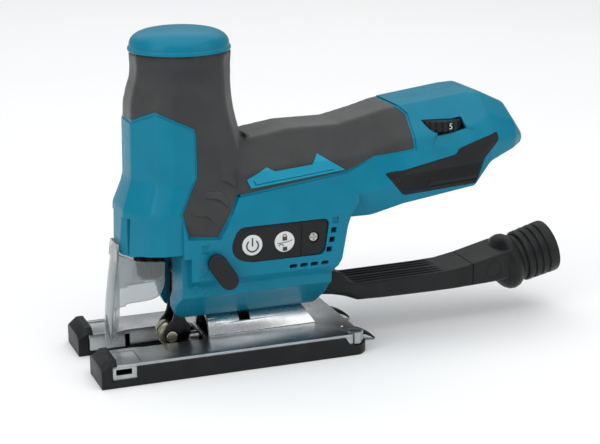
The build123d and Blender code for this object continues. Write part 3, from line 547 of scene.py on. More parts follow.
# Below and behind: the seat on the bevel guide, the chip tunnel and the space for the battery.
carve(shell, lathe("guide_seat", [(40, 0), (40, 13.9), (150, 13.9), (150, 0)], (0, 0, TILT_Z), ALONG, 48))
carve(shell, end_solid("chip_tunnel", mirror_points([(8, 27), (10, 29), (10, 38)]), 55, 140))
carve(shell, side_solid("battery_space", [(173, 70), (176.5, 98.6), (212.5, 101.5), (240, 101.5), (240, 70)],
    -31, 31))
# A shallow step round the grip makes the rim, and the grip's own opening goes right through.
step = side_solid("grip_step", [(10, 180), (10, 131.6), (27, 131.6), (37.2, 137.3), (54.7, 129.2),
    (55.6, 125.8), (55.6, 104.4), (46.0, 86.6), (49.4, 73.2), (66.8, 71.7), (78.8, 91.8), (139.5, 99.7),
    (155.6, 106.7), (178.3, 109.9), (178.3, 127.6), (166.8, 139.4), (166.8, 180)], -50, 50)
step_core = loft("step_core", [column_ring(*level, 0.7) for level in COLUMN])
carve(step_core, barrel_core("step_barrel", 0.7), "UNION")
carve(step, step_core)
carve(shell, step)
carve(shell, side_solid("grip_opening", GRIP_LINE, -50, 50))

# Control panel recess, cooling slots, dial scoop and foot panels.
PANEL_LINE = [(73.2, 67.6), (75.4, 74.5), (79, 77.2), (125.6, 77.4), (127.4, 75.4), (125.4, 60),
    (123.2, 57.8), (84, 57.8), (76.8, 59.9)]
FOOT_LINE = [(160.0, 98.5), (169.0, 86.8), (212.6, 89.8), (214.8, 95.5), (217.5, 103.1), (227.0, 112.5),
    (226.2, 116.6), (202.6, 109.2), (200.5, 106.3)]
carve(shell, side_solid("panel_recess", rounded(PANEL_LINE, 1.2), -40, -30.4))
for x, z, w, h, deep in ((131, 76, 1.7, 1.6, -32.2), (130, 70.6, 1.6, 1.5, -29), (129, 65.4, 1.6, 1.5, -29),
        (127.4, 60.2, 1.6, 1.5, -29), (107, 53, 2.1, 1.0, -29), (113, 53, 2.1, 1.0, -29),
        (119, 53, 2.1, 1.0, -29), (125, 53, 2.1, 1.0, -29)):
    carve(shell, side_solid("slot", rounded([(x - w, z - h), (x + w, z - h), (x + w + 0.3, z + h),
        (x - w + 0.3, z + h)], 0.6, 3), -40, deep))
for z in (59.5, 65.3, 71.0):
    carve(shell, block("right_slot", 112, 124, 28.5, 40, z - 1.3, z + 1.3))
foot_tool = side_solid("foot_recess", rounded(FOOT_LINE, 1.5), -45, 45)
carve(foot_tool, barrel_core("foot_core", 1.6))
carve(shell, foot_tool)
scoop_rim = rounded([(185.8, 125.6), (208.4, 129.4), (218.0, 117.2), (186.4, 109.4)], [2, 3, 5, 2], 4)
scoop_window = rounded([(190.0, 122.4), (207.0, 125.0), (208.8, 118.9), (191.8, 116.0)], [0.6, 0.6, 0.6, 0.6],
    4)
carve(shell, loft("scoop", [[(x, depth, z) for x, z in line] for depth, line in ((-45, scoop_rim),
    (-32.9, scoop_rim), (-30.0, scoop_window), (-24, scoop_window))]))
carve(shell, lathe("dial_room", [(-3.1, 0), (-3.1, 13.4), (3.1, 13.4), (3.1, 0)], (*DIAL_AXIS[:2], 121.1), UP,
    40))
carve(shell, side_solid("window_mark", [(198.6, 126.9), (200.6, 126.9), (199.6, 125.2)], -40, -29.9))
for x, z, reach in ((62, 158.5, 16.5), (62, 77.5, 26), (136, 67, 24), (60, 45.5, 20), (122, 44.5, 24),
        (158, 82.5, 22), (226, 118, 24)):
    carve(shell, pill("screw_well", x, z, 3.5, reach - 2.8, 45))
right_shell = part_halves(shell, "shell_left", "shell_right", HALF_GAP)
finish_piece(shell, teal_nylon, "housing", ["housing_left"], 24)
finish_piece(right_shell, teal_nylon, "housing", ["housing_right"], 24)

# ------------------------------------------------------------------ soft grip
# Thermoplastic rubber moulded over the column, the barrel and down beside the panel. It is
# softly rounded, a little lower than the teal rim round it, with three thumb ridges.
rubber = moulded("rubber", (0.032, 0.0335, 0.034), (0.042, 0.0435, 0.044), 0.5, 0.5, 0.03, 0.4, 0.25)
grip = loft("grip", [column_ring(*level, 0.0 if level[0] > 150 else 0.45) for level in COLUMN])
carve(grip, barrel_core("grip_barrel", 0.4, BARREL[:6]), "UNION")
carve(grip, lathe("fillet", [(-20, 0), (-20, 1), (20, 1), (20, 0)], (87.5, 0, 122.6), ACROSS, 12), "UNION")
melt = grip.modifiers.new("melt", "REMESH")
melt.mode = "VOXEL"
melt.voxel_size = 1.15 * MM
smooth = grip.modifiers.new("smooth", "SMOOTH")
smooth.factor = 0.6
smooth.iterations = 9
settle(grip)


def flank(piece, x, z):
    """How far out (y, in mm) a piece's left side reaches at x and z."""
    start = spot(x, -80, z)
    hit, place = piece.ray_cast(start, Vector((0, 1, 0)))[:2]
    return place.y / MM if hit else -28.0


bpy.context.view_layer.update()
ridges = []
for line, drop in (([(68.5, 101.6), (72.6, 101.1), (74.4, 100.2), (77.4, 96.8)], 4.0),
                   ([(60.5, 93.5), (66.2, 92.9), (68.2, 92.0), (71.8, 88.2)], 4.4),
                   ([(51.8, 85.7), (59.6, 84.8), (61.6, 83.8), (65.0, 79.8)], 4.6)):
    rings = []
    for i, (x, z) in enumerate(line):
        rise = 0.15 if i in (0, len(line) - 1) else 0.95
        y = flank(grip, x, z)
        rings.append([(x, y + 1.5, z), (x, y - rise, z), (x + 0.5, y - 0.55 * rise, z + 1.4), (x + 0.9,
            flank(grip, x + 0.9, z + drop) + 0.3, z + drop), (x + 0.9, y + 1.5, z + drop)])
    ridges.append(loft("ridge", rings))
core = column_core("grip_core", WALL)
carve(core, barrel_core("grip_core_barrel", WALL), "UNION")
carve(grip, core)
carve(grip, side_solid("grip_zone", [(10, 166.8), (10, 133.1), (26.6, 133.1), (37, 139.15), (56.0, 130.1),
    (57.0, 126.1), (57.0, 104), (47.6, 86.5), (50.6, 74.6), (65.9, 73.15), (77.9, 93.15), (139, 101.15),
    (155, 108.15), (176.9, 111.15), (176.9, 126.9), (165.9, 137.9), (165.9, 166.8)], -50, 50), "INTERSECT")
# Outlines of the accent strip and of the groove in it, in x and z.
STRIP_LINE = [(83.2, 100.9), (94.6, 106.6), (99.0, 104.3), (119.6, 106.2), (123.4, 111.3), (138.4, 101.8),
    (85.6, 96.2)]
GROOVE_LINE = [(86.6, 100.3), (88.2, 97.7), (132.0, 102.3), (131.9, 102.75), (88.6, 98.2), (87.1, 100.6)]
for near, far in ((-50, -24.8), (24.8, 50)):
    carve(grip, side_solid("strip_pocket", STRIP_LINE, near, far))
right_grip = part_halves(grip, "grip_skin_left", "grip_skin_right", 0.03)
join(right_grip, [mirrored_piece("ridge", ridge) for ridge in ridges])
join(grip, ridges)
finish_piece(grip, rubber, "housing", ["grip_left"], 42)
finish_piece(right_grip, rubber, "housing", ["grip_right"], 42)

# ------------------------------------------------------------------ accent strips
# A long teal inlay in each side of the soft grip, moulded with the shell and standing
# just proud of the rubber, with a fine groove along its lower edge.
strip = side_solid("accent_skin_left", [(x + 0.12, z) for x, z in STRIP_LINE], -50, -24)
carve(strip, barrel_core("strip_body", -0.25), "INTERSECT")
groove = side_solid("strip_groove", GROOVE_LINE, -50, -24)
carve(strip, carve(groove, barrel_core("strip_floor", 0.3)))
right_strip = mirrored_piece("accent_skin_right", strip)
# The strip's teal is lighter than the shell's as a painted highlight, because the strip faces up more; it is
# the same teal plastic as the shell.
painted_highlight_teal = moulded("painted_highlight_teal", (0.006, 0.25, 0.38), (0.008, 0.28, 0.42), 0.34, 0.7, 0.02, 0.4)
finish_piece(strip, painted_highlight_teal, "housing", ["accent_strip_left"], 20)
finish_piece(right_strip, painted_highlight_teal, "housing", ["accent_strip_right"], 20)

# ------------------------------------------------------------------ cap
# A teal nylon dome pressed onto the top of the column. It has a thin upright lip and a low
# rounded crown, and it is hollow underneath.
def cap_ring(inset, z):
    """One oval level of the cap, set in from its widest."""
    turns = [2 * math.pi * i / 72 for i in range(72)]
    return [(56.4 + (27.0 - inset) * math.cos(t), (25.2 - inset) * math.sin(t), z) for t in turns]


cap = loft("cap_skin", [cap_ring(inset, z) for inset, z in ((0.9, 166.95), (0.25, 167.1), (0, 167.5),
    (0, 168.6), (0.25, 169.0), (0.75, 169.25), (0.8, 170.2), (1.0, 171.6), (1.7, 173.2), (3.0, 174.7),
    (5.0, 176.0), (8.0, 177.15), (12.0, 178.0), (17.0, 178.45), (21.5, 178.6))])
carve(cap, loft("cap_hollow", [cap_ring(inset, z) for inset, z in (
    (6.5, 166.0), (6.5, 170.5), (8.5, 173.4), (12.0, 175.2), (18.0, 176.2))]))
finish_piece(cap, teal_nylon, "housing", ["top_cap"], 40)

# ------------------------------------------------------------------ control panel
# A black plate let into the left side and held by one cross-head screw, with two pale
# printed push buttons: power, and the lock with its open and closed padlocks.
SIDE = -33.0             # the tool's left side
BUTTON_Z = 67.2
POWER_X = 84.0
LOCK_X = 102.0
SCREW_X = 118.5
SCREW_Z = 68
gloss_black = moulded("gloss_black", (0.010, 0.011, 0.012), (0.014, 0.015, 0.016), 0.3, 0.9, 0.012, 0.3)
button_print = moulded("button_print", (0.60, 0.63, 0.63), (0.66, 0.68, 0.68), 0.45, 0.6, 0.01, 0.2)
mark_ink = moulded("mark_ink", (0.035, 0.04, 0.042), (0.05, 0.055, 0.058), 0.5, 0.6, 0.005, 0.1)
bright_screw = metal("bright_screw", (0.42, 0.42, 0.4), (0.55, 0.55, 0.52), 0.34)
PANEL_SKIN = [(72.7, 65.2), (73.6, 71.2), (77.6, 76.9), (124.6, 77.1), (126.5, 75.2), (124.4, 61.2),
    (121.6, 58.4), (81.2, 58.0), (75.4, 60.4)]
panel = round_edges(side_solid("panel_skin", rounded(PANEL_SKIN, [4, 4, 1.5, 0.8, 1.5, 2, 2, 6, 5], 4),
    SIDE - 0.35, -30.6), 0.35, 3, 40)
carve(panel, side_solid("split", [(110.9, 58), (111.25, 58), (111.9, 74.6), (111.2, 75.9), (110.6, 75.9),
    (111.4, 74.4)], -40, SIDE + 0.1))
for x in (POWER_X, LOCK_X):
    carve(panel, pill("button_hole", x, BUTTON_Z, 5.75, -40, -30))
carve(panel, pill("screw_seat", SCREW_X, SCREW_Z, 3.15, -40, SIDE + 1.2))
carve(panel, pill("screw_hole", SCREW_X, SCREW_Z, 1.6, -40, -20))
finish_piece(panel, gloss_black, "housing", ["control_panel"], 25)


def arc_line(x, z, radius, start, end, width, steps=20):
    """Outline of a flat ring section in x and z."""
    turns = [math.radians(start + (end - start) * i / steps) for i in range(steps + 1)]
    outer = [(radius + width / 2, t) for t in turns]
    inner = [(radius - width / 2, t) for t in reversed(turns)]
    return [(x + r * math.cos(t), z + r * math.sin(t)) for r, t in outer + inner]


for name, x, node in (("power", POWER_X, "power_button"), ("lock", LOCK_X, "lock_button")):
    disc = lathe(name + "_disc", [(-27.4, 0), (-27.4, 2), (-30.5, 2), (-30.5, 5.6), (SIDE - 0.3, 5.6),
        (SIDE - 0.55, 5.35), (SIDE - 0.6, 0)], (x, 0, BUTTON_Z), ACROSS, 56)
    finish_piece(disc, button_print, node, [node])
face = (SIDE - 0.66, SIDE - 0.5)
power_mark = side_solid("power_mark", arc_line(POWER_X, 66.9, 3.2, -232, 52, 0.75, 32), *face)
join(power_mark, [block("bar", 83.62, 84.38, *face, 66.6, 71.2)])
finish_piece(power_mark, mark_ink, "power_button")
lock_mark = side_solid("lock_mark", [(100.7, 67.9), (103.3, 67.9), (103.3, 70.1), (100.7, 70.1)], *face)
join(lock_mark, [side_solid("shackle", arc_line(LOCK_X, 70.3, 1.0, 0, 180, 0.42), *face), side_solid("line",
    [(97.8, 66.35), (100.4, 66.7), (103.2, 66.8), (106.2, 67.75), (106.2, 68.05), (103.2, 67.15),
    (100.4, 67.05), (97.8, 66.7)], *face), side_solid("open_body", [(100.9, 62.3), (103.3, 62.3),
    (103.3, 64.4), (100.9, 64.4)], *face), side_solid("open_shackle",
    arc_line(100.0, 65.0, 1.15, 0, 178, 0.42), *face)])
finish_piece(lock_mark, mark_ink, "lock_button")
screw_head = lathe("panel_screw_head", [(-26.6, 0), (-26.6, 1.4), (SIDE + 1.1, 1.4), (SIDE + 1.1, 2.7),
    (SIDE + 0.5, 2.7), (SIDE + 0.05, 2.2), (SIDE - 0.1, 1.2), (SIDE - 0.15, 0)], (SCREW_X, 0, SCREW_Z),
    ACROSS, 40)
for long, high in ((1.8, 0.38), (0.38, 1.8)):
    carve(screw_head, block("cross", SCREW_X - long, SCREW_X + long, -34, SIDE + 0.75, SCREW_Z - high, SCREW_Z
        + high))
finish_piece(screw_head, bright_screw, "housing", ["panel_screw"], 30)

# ------------------------------------------------------------------ orbit lever
# A black nylon lever on a steel cam spindle chooses how far the blade swings. Four raised
# rings beside it and a small scale above it show its settings.
black_nylon = moulded("black_nylon", (0.013, 0.014, 0.0145), (0.018, 0.019, 0.0195), 0.4, 0.6, 0.02, 0.4)
LEVER_R = 5.0
LEVER_LEAN = 33
lever_line = []
for x, z, start in ((70.4, 50.1, LEVER_LEAN - 180), (64, 60, LEVER_LEAN)):
    turns = [math.radians(start + 180 * i / 32) for i in range(33)]
    lever_line += [(x + LEVER_R * math.cos(t), z + LEVER_R * math.sin(t)) for t in turns]
lever = round_edges(side_solid("lever_skin", lever_line, -37.7, -33.3), 1.3, 4, 40)
finish_piece(lever, black_nylon, "orbit_lever", ["orbit_lever"], 40)
marks = lathe("orbit_marks", [(-33.12, 1.5), (-33.12, 1.95), (-32.5, 1.95), (-32.5, 1.5)], (58.0, 0, 55.9),
    ACROSS, 28, 270)
join(marks, [lathe("ring", [(-33.12, 1.35), (-33.12, 1.85), (-32.5, 1.85), (-32.5, 1.35)], (x, 0, z), ACROSS,
    28) for x, z in ((56.6, 51.6), (57.9, 44.4), (52.6, 46.2))])
join(marks, [block("scale", 56.6 + 1.1 * i, 57.1 + 1.1 * i, -33.12, -32.5, 65.4, 69.4) for i in range(4)]
     + [block("scale", 56.4, 60.6, -33.12, -32.5, z, z + 0.4) for z in (65.2, 69.2)])
finish_piece(marks, teal_nylon, "housing")

# ------------------------------------------------------------------ foot panels and dial
# Black inserts cover the lower sides of the battery foot, with fine slanted grooves. Above
# the left one the ribbed speed dial, marked 5, shows in a window at the bottom of a scoop.
foot_skin = side_solid("foot_skin_left", rounded([(x + (0.25 if x < 190 else -0.25), z) for x,
    z in FOOT_LINE], 1.2), -45, -22)
carve(foot_skin, barrel_core("foot_outer", 0.15), "INTERSECT")
carve(foot_skin, barrel_core("foot_inner", 1.55))
cuts = [side_solid("cut", [(x, 84), (x + 0.55, 84), (x + 18.55, 104), (x + 18, 104)], -45, -20)
        for x in (150 + 1.55 * i for i in range(44))]
hatch = join(cuts[0], cuts[1:])
zone = side_solid("hatch_zone", [(162.6, 97.0), (169.6, 88.2), (183.5, 89.4), (185.2, 92.6), (212.6, 94.2),
    (215.0, 99.6), (214.6, 101.2)], -50, -10)
carve(zone, barrel_core("hatch_floor", 0.45))
carve(hatch, zone, "INTERSECT")
carve(foot_skin, hatch)
long_groove = side_solid("long_groove", [(185.4, 89.9), (212.2, 91.6), (212.0, 92.6), (185.6, 90.9)], -50,
    -10)
carve(foot_skin, carve(long_groove, barrel_core("groove_floor", 0.75)))
right_foot = mirrored_piece("foot_skin_right", foot_skin)
finish_piece(foot_skin, black_nylon, "housing", ["side_panel_left"], 20)
finish_piece(right_foot, black_nylon, "housing", ["side_panel_right"], 20)

# Twenty-four ribs round the dial, each ten steps wide with a narrow groove between.
dial_ring = [(2 * math.pi * i / 240, 12.95 if 2 <= i % 10 <= 8 else 12.35) for i in range(240)]
dial = loft("dial_skin", [[(DIAL_AXIS[0] + (r - cut) * math.cos(t), DIAL_AXIS[1] + (r - cut) * math.sin(t), z)
    for t, r in dial_ring] for z, cut in ((118.2, 0.5), (118.7, 0), (123.5, 0), (124.0, 0.5))])
carve(dial, lathe("dial_bore", [(110, 0), (110, 2.1), (130, 2.1), (130, 0)], DIAL_AXIS, UP, 24))
finish_piece(dial, gloss_black, "speed_dial", ["speed_dial"], 30)
figure = bpy.data.objects.new("dial_figure", bpy.data.curves.new("dial_figure", "FONT"))
figure.data.body = "5"
figure.data.size = 4.6 * MM
figure.data.extrude = 0.05 * MM
figure.data.align_x = "CENTER"
figure.data.align_y = "CENTER"
scene.collection.objects.link(figure)
settled = bpy.data.meshes.new_from_object(figure)
bpy.data.objects.remove(figure)
settled.transform(Matrix.Translation(spot(198.6, -31.53, 121.1)) @ Matrix.Rotation(math.pi / 2, 4, "X"))
number = bpy.data.objects.new("dial_number", settled)
scene.collection.objects.link(number)
finish_piece(number, button_print, "speed_dial")

# ------------------------------------------------------------------ blade clamp
# The quick clamp under the nose: a dark ribbed plastic collar turns on the plunger's end
# and frees the blade. A black boot stands above it and a brass coloured ring below.
yellow_zinc = metal("yellow_zinc", (0.42, 0.4, 0.3), (0.55, 0.52, 0.4), 0.3)
collar_rows = []
for z, grow in ((46.5, -1.4), (47.6, 0), (57.4, 0), (58.5, -1.0)):
    ring = []
    for i in range(96):
        turn = 2 * math.pi * i / 96
        groove_depth = 0.35 if i % 4 < 2 else 0.0
        radius = 7.6 * (1.0 + 0.10 * math.cos(4 * turn) ** 2) + grow - groove_depth
        ring.append((PLUNGER_AXIS[0] + radius * math.cos(turn), radius * math.sin(turn), z))
    collar_rows.append(ring)
collar = loft("collar_skin", collar_rows)
thumb = round_edges(plan_solid("thumb", [(37.5, 4.5), (44.5, 2.5), (45.0, 8.2), (37.5, 8.4)], 46.8, 58.3),
    0.6, 2, 40)
carve(collar, thumb, "UNION")
carve(collar, lathe("collar_bore", [(40, 0), (40, 4.75), (57.9, 4.75), (57.9, 5.7), (62, 5.7), (62, 0)],
    PLUNGER_AXIS, UP, 40))
finish_piece(collar, gloss_black, "clamp_collar", ["clamp_collar"], 30)
holder = lathe("blade_holder_skin", [(44.6, 2.2), (44.6, 4.3), (45.0, 4.6), (45.4, 6.4), (46.1, 6.6),
    (46.3, 6.4), (46.3, 4.6), (57.9, 4.6), (57.9, 2.2)], PLUNGER_AXIS, UP, 48)
finish_piece(holder, yellow_zinc, "plunger", ["blade_holder"], 30)
boot = lathe("plunger_boot", [(62.2, 8.6), (63.0, 9.4), (66.0, 9.4), (66.0, 5.9), (58.9, 5.9), (58.9, 7.2),
    (60.4, 7.4)], PLUNGER_AXIS, UP, 48)
finish_piece(boot, black_nylon, "housing")

# ------------------------------------------------------------------ roller holder
# A black oxidised steel bracket, bent from sheet and pivoted in the housing, carries the
# grooved guide roller on a rivet with a flat head. A wire spring presses it to the blade.
oxide = metal("black_oxide", (0.02, 0.02, 0.021), (0.035, 0.035, 0.036), 0.34, edge=0.35)
steel = metal("machined_steel_finish", (0.42, 0.42, 0.43), (0.52, 0.52, 0.53), 0.3)
ROLLER_X = 46.5
ROLLER_Z = 12.6
CHEEK = rounded([(42.2, 12.5), (43.6, 8.6), (48.5, 7.6), (57.0, 11.8), (57.6, 17.0), (53.9, 21.6), (53.6, 30),
    (54.6, 46), (54.2, 49.6), (49.8, 49.6), (49.6, 42), (49.0, 29), (47.6, 21.2), (43.6, 17.4)], [3.5, 3.5, 3,
    3, 3, 5, 6, 2, 2, 2, 3, 8, 5, 3], 5)
bracket, right_cheek = (round_edges(side_solid("cheek", CHEEK, side * 5.7, side * 7.9), 0.5, 2, 50)
    for side in (-1, 1))
carve(bracket, right_cheek, "UNION")
carve(bracket, round_edges(side_solid("web", [(53.6, 13.5), (57.3, 13.0), (57.5, 17), (54.0, 20.8),
    (53.4, 42), (50.9, 42), (50.6, 28), (52.6, 20)], -6.4, 6.4), 0.5, 2, 50), "UNION")
carve(bracket, pill("rivet_hole", ROLLER_X, ROLLER_Z, 2.45, -9, 9))
carve(bracket, pill("pivot_hole", 52, 46, 1.7, -9, 9))
finish_piece(bracket, oxide, "roller_holder", ["roller_holder"], 35)
rivet = lathe("rivet", [(-8.95, 0), (-8.95, 2.5), (-8.6, 3.05), (-8.0, 3.1), (-7.95, 2.42), (7.9, 2.42),
    (7.95, 3.1), (8.5, 2.9), (8.6, 0)], (ROLLER_X, 0, ROLLER_Z), ACROSS, 40)
finish_piece(rivet, yellow_zinc, "roller_holder", ["roller_pin"], 30)
roller = lathe("roller_skin", [(-5, 2.6), (-5, 5.2), (-4.6, 6.1), (-4.0, 6.3), (-1.3, 6.3), (-0.9, 6.0),
    (-0.9, 4.7), (0.9, 4.7), (0.9, 6.0), (1.3, 6.3), (4.0, 6.3), (4.6, 6.1), (5, 5.2), (5, 2.6)],
    (ROLLER_X, 0, ROLLER_Z), ACROSS, 64)
finish_piece(roller, yellow_zinc, "guide_roller", ["guide_roller"], 30)


def wire(name, points, thick):
    """Round wire of a thickness in mm along points in mm."""
    line = bpy.data.curves.new(name, "CURVE")
    line.dimensions = "3D"
    line.bevel_depth = thick / 2 * MM
    line.bevel_resolution = 3
    line.use_fill_caps = True
    run = line.splines.new("POLY")
    run.points.add(len(points) - 1)
    for dot, place in zip(run.points, points):
        dot.co = (*spot(*place), 1)
    holder = bpy.data.objects.new(name, line)
    mesh = bpy.data.meshes.new_from_object(holder)
    bpy.data.objects.remove(holder)
    made = bpy.data.objects.new(name, mesh)
    scene.collection.objects.link(made)
    return made


# Nine turns of the spring, sixteen points to a turn.
coil = [(57.0 + 0.0375 * i, -3.6 + 2.3 * math.cos(i * math.pi / 8), 10.2 + 2.3 * math.sin(i * math.pi / 8))
    for i in range(145)]
spring = wire("holder_spring", [(55.5, -3.0, 14.0), (56.4, -2.2, 12.4)] + coil, 0.8)
finish_piece(spring, steel, "roller_holder", (), 40)

# ------------------------------------------------------------------ chip guard
# Clear polycarbonate, moulded in one piece. A narrow front shield with two stiffening ribs
# turns back into a wing on each side, and it slides up and down in front of the blade.
guard_clear, clear_surface = shader("guard_polycarbonate")
tint(guard_clear, clear_surface, grain(guard_clear, 12, 0, 1), (0.48, 0.53, 0.54), (0.54, 0.58, 0.59))
clear_surface.inputs["Transmission Weight"].default_value = 0.82
clear_surface.inputs["IOR"].default_value = 1.45
guard_clear.node_tree.links.new(grain(guard_clear, 6, 0.05, 0.14), clear_surface.inputs["Roughness"])
relief(guard_clear, clear_surface, grain(guard_clear, 5, 0, 1), 0.03, 0.3)


def guard_ring(z, front):
    """One level of the guard: round the front and back along each wing, outside and then inside."""
    half = [(front, 0), (front, 5.6), (front + 0.5, 7.6), (front + 2.1, 10.8), (front + 3.6, 13.4),
        (front + 5.6, 14.3), (43, 14.4), (43, 13.25), (front + 6.0, 13.15), (front + 4.6, 12.45),
        (front + 3.3, 9.9), (front + 1.8, 7.0), (front + 1.25, 5.0), (front + 1.2, 0)]
    return [(x, -y, z) for x, y in half] + [(x, y, z) for x, y in reversed(half[1:-1])]


guard = loft("guard", [guard_ring(z, front) for z, front in
                       ((9.0, 12.9), (17, 13.0), (27, 13.4), (36, 14.3), (49, 16.0), (61.4, 17.9))])
outline = side_solid("guard_outline", rounded([(11, 8), (30, 8), (20.5, 33.6), (19.6, 36.4), (33.3, 37.0),
    (38.8, 38.6), (41.4, 45.4), (41.9, 57.2), (27.4, 58.8), (21.6, 61.2), (17.9, 61.4), (11, 61.4)],
    [0, 0, 2, 2.5, 4, 4, 3, 1, 4, 1, 0.3, 0.1], 5), -20, 20)
carve(guard, outline, "INTERSECT")
front_view = end_solid("guard_front_view", rounded(mirror_points([(0.4, 9.0), (3.0, 9.6), (7.2, 17.0),
    (8.0, 27.0), (8.2, 32.5), (15, 35.5), (15, 62)]), [0.1, 2, 4, 3, 2, 1, 0, 0, 1, 2, 3, 4, 2, 0.1], 4), 8,
    50)
carve(guard, front_view, "INTERSECT")
for side in (-1, 1):
    rib = loft("rib", [[(x0, side * 5.9, z), (x1, side * 5.9, z), (x1, side * 7.0, z), (x0, side * 7.0, z)]
        for z, x0, x1 in ((16, 13.4, 16.4), (27, 14.2, 18.2), (49, 17.0, 19.4), (60, 18.5, 19.4))])
    carve(guard, rib, "UNION")
tab = loft("tab", [[(x, -w, z), (x + 1.2, -w, z), (x + 1.2, w, z), (x, w, z)]
                   for z, x, w in ((58, 17.3, 8.4), (63.6, 17.7, 8.0), (67.2, 18.1, 6.4))])
carve(guard, tab, "UNION")
frame_bar = block("clip_bar", 24.4, 29.2, -14.9, -14.2, 50.4, 55.6)
carve(frame_bar, block("clip_hole", 25.3, 28.3, -16, -13, 51.3, 54.7))
carve(guard, frame_bar, "UNION")
carve(guard, block("rib_low", 20.5, 40.6, -14.9, -14.3, 47.0, 47.5), "UNION")
finish_piece(guard, guard_clear, "chip_guard", ["chip_guard"], 40)

# ------------------------------------------------------------------ dust duct
# A flat black nylon duct leads from under the motor to the rear. Its tail piece, joined on
# behind, swells into a round neck on which the ribbed hose cuff turns.
duct_black = moulded("duct_black", (0.012, 0.0125, 0.013), (0.018, 0.0185, 0.019), 0.36, 0.6, 0.02, 0.5)


def duct_ring(x, low, top, half, lower=5.0, upper=1.4):
    """One station of the duct, with its lower and upper corners rounded."""
    corners = rounded([(0, low), (half, low), (half, top), (0, top)], [0.01, lower, upper, 0.01], 5)
    right = [(y, z) for y, z in corners if y > 0.02]
    return [(x, y, z) for y, z in mirror_points(right)]


def duct_body(name, stations):
    """A closed length of duct through its stations."""
    return loft(name, [duct_ring(*station) for station in stations])


duct = duct_body("duct_skin", [(131.7, 26.6, 41.0, 12.5), (138, 26.2, 40.6, 13.6), (142, 25.4, 39.4, 14),
    (145, 24.6, 36.6, 14), (147.4, 23.8, 33.8, 14), (150.2, 22.6, 32.2, 14), (153.5, 21.5, 31.8, 14, 4),
    (170, 21.3, 32.0, 14, 3), (198, 21.3, 32.3, 14, 2.5), (212, 21.4, 32.9, 14, 2.5),
    (223.9, 21.9, 35.0, 14, 2.5)])
for y in (-10.2, -6.4, -2.6, 2.6, 6.4, 10.2):
    carve(duct, loft("duct_rib", [[(x, y - 0.45, z), (x, y + 0.45, z), (x, y + 0.3, z + 1.0),
        (x, y - 0.3, z + 1.0)] for x, z in ((150.5, 31.3), (153, 31.6), (205, 32.0), (208, 31.6))]), "UNION")
carve(duct, duct_body("duct_room", [(131, 28.6, 39.0, 11, 3, 1), (142, 27.4, 37.4, 12, 3, 1),
    (147.4, 25.8, 32.0, 12, 3, 1), (153.5, 23.5, 30, 12, 3, 1), (212, 23.4, 31, 12, 2, 1),
    (224.4, 23.9, 33, 12, 2, 1)]))
finish_piece(duct, duct_black, "housing", ["dust_duct"], 38)
NECK = (257, 0, 31)
neck_tilt = math.radians(14)
along = Vector((math.cos(neck_tilt), 0, math.sin(neck_tilt)))
tail = duct_body("tail_skin", [(224.35, 21.9, 35.05, 14, 2.5), (225.0, 21.9, 35.2, 14, 2.5),
    (236, 22.2, 37.8, 14, 3), (246, 22.6, 40.2, 14, 4), (250, 23.2, 41.0, 13.6, 5)])
swell = lathe("swell", [(-16, 0), (-15, 6), (-12.5, 11), (-10.0, 14.4), (-7.5, 16.2), (-5.0, 16.7),
    (-2.6, 16.2), (-1.0, 15.2), (0.2, 14.2), (0.6, 13.5), (8.9, 13.5), (8.9, 0)], NECK, along, 64)
carve(tail, swell, "UNION")
carve(tail, lathe("neck_bore", [(-9, 0), (-9, 12.2), (12, 12.2), (12, 0)], NECK, along, 48))
carve(tail, duct_body("tail_room", [(223, 23.9, 33, 12, 2, 1), (250, 24.6, 38, 12, 2, 1)]))
carve(tail, lathe("badge", [(-14.05, 4.6), (-14.05, 4.85), (-13.8, 4.85), (-13.8, 4.6)], (237.3, 0, 30.6),
    ACROSS, 40))
finish_piece(tail, duct_black, "housing", ["duct_tail"], 38)
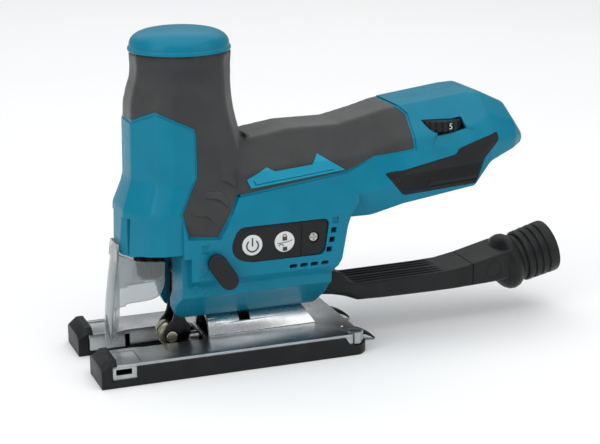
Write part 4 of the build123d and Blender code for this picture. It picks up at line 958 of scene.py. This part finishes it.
cuff = lathe("cuff_skin", [(3.3, 13.75), (3.3, 14.3), (3.9, 15.0), (6.4, 15.15), (7.0, 14.2), (7.9, 14.2),
    (8.3, 15.1), (10.9, 15.35), (11.5, 14.3), (12.4, 14.3), (12.8, 15.2), (15.4, 15.5), (16.0, 14.4),
    (16.9, 14.4), (17.3, 15.3), (18.6, 15.55), (22.2, 15.6), (23.2, 15.3), (23.5, 14.7), (23.45, 13.0),
    (22.8, 12.6), (9.3, 12.6), (9.3, 13.75)], NECK, along, 72)
finish_piece(cuff, duct_black, "hose_cuff", ["hose_cuff"], 30)

# ------------------------------------------------------------------ inner works and fixings
# What stays inside or shows only in gaps and from below: gear case, crank drive, motor,
# electronics, battery contacts, screws and the clamp bolt, each in its own finish.
cast = metal("cast_alloy", (0.42, 0.43, 0.44), (0.52, 0.53, 0.54), 0.45, depth=0.02)
bronze = metal("sintered_bronze", (0.35, 0.22, 0.1), (0.45, 0.3, 0.15), 0.4)
wire_copper = metal("winding_copper", (0.5, 0.2, 0.08), (0.62, 0.28, 0.12), 0.32, (12, 1, 1), 0.05)
laminated = metal("stacked_laminations", (0.18, 0.18, 0.19), (0.28, 0.28, 0.29), 0.4, (30, 1, 1), 0.03)
tinned = metal("tinned_contacts", (0.55, 0.54, 0.5), (0.68, 0.66, 0.6), 0.25)
board_green = moulded("board_green", (0.01, 0.07, 0.035), (0.015, 0.1, 0.05), 0.35, 2.0, 0.01)
lens_clear = moulded("lens_clear", (0.75, 0.76, 0.74), (0.82, 0.82, 0.8), 0.15, 3.0, 0.005)
for paint, names in {cast: ["gear_housing"], bronze: ["lower_bush", "upper_bush"], wire_copper: ["windings"],
        laminated: ["rotor", "stator"], tinned: ["terminal_contacts"],
        board_green: ["controller", "switch_board"], lens_clear: ["work_light"],
        black_nylon: ["terminal_block", "cooling_fan"], oxide: ["housing_screws", "base_bolt"],
        steel: ["plunger", "drive_yoke", "counterweight", "drive_gear", "gear_shaft", "crank_pin",
        "gear_bearing", "motor_pinion", "motor_shaft", "front_bearing", "rear_bearing", "holder_pin",
        "orbit_cam", "dial_post"],}.items():
    for name in names:
        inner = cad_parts[name]
        inner.data.materials.clear()
        inner.data.materials.append(paint)
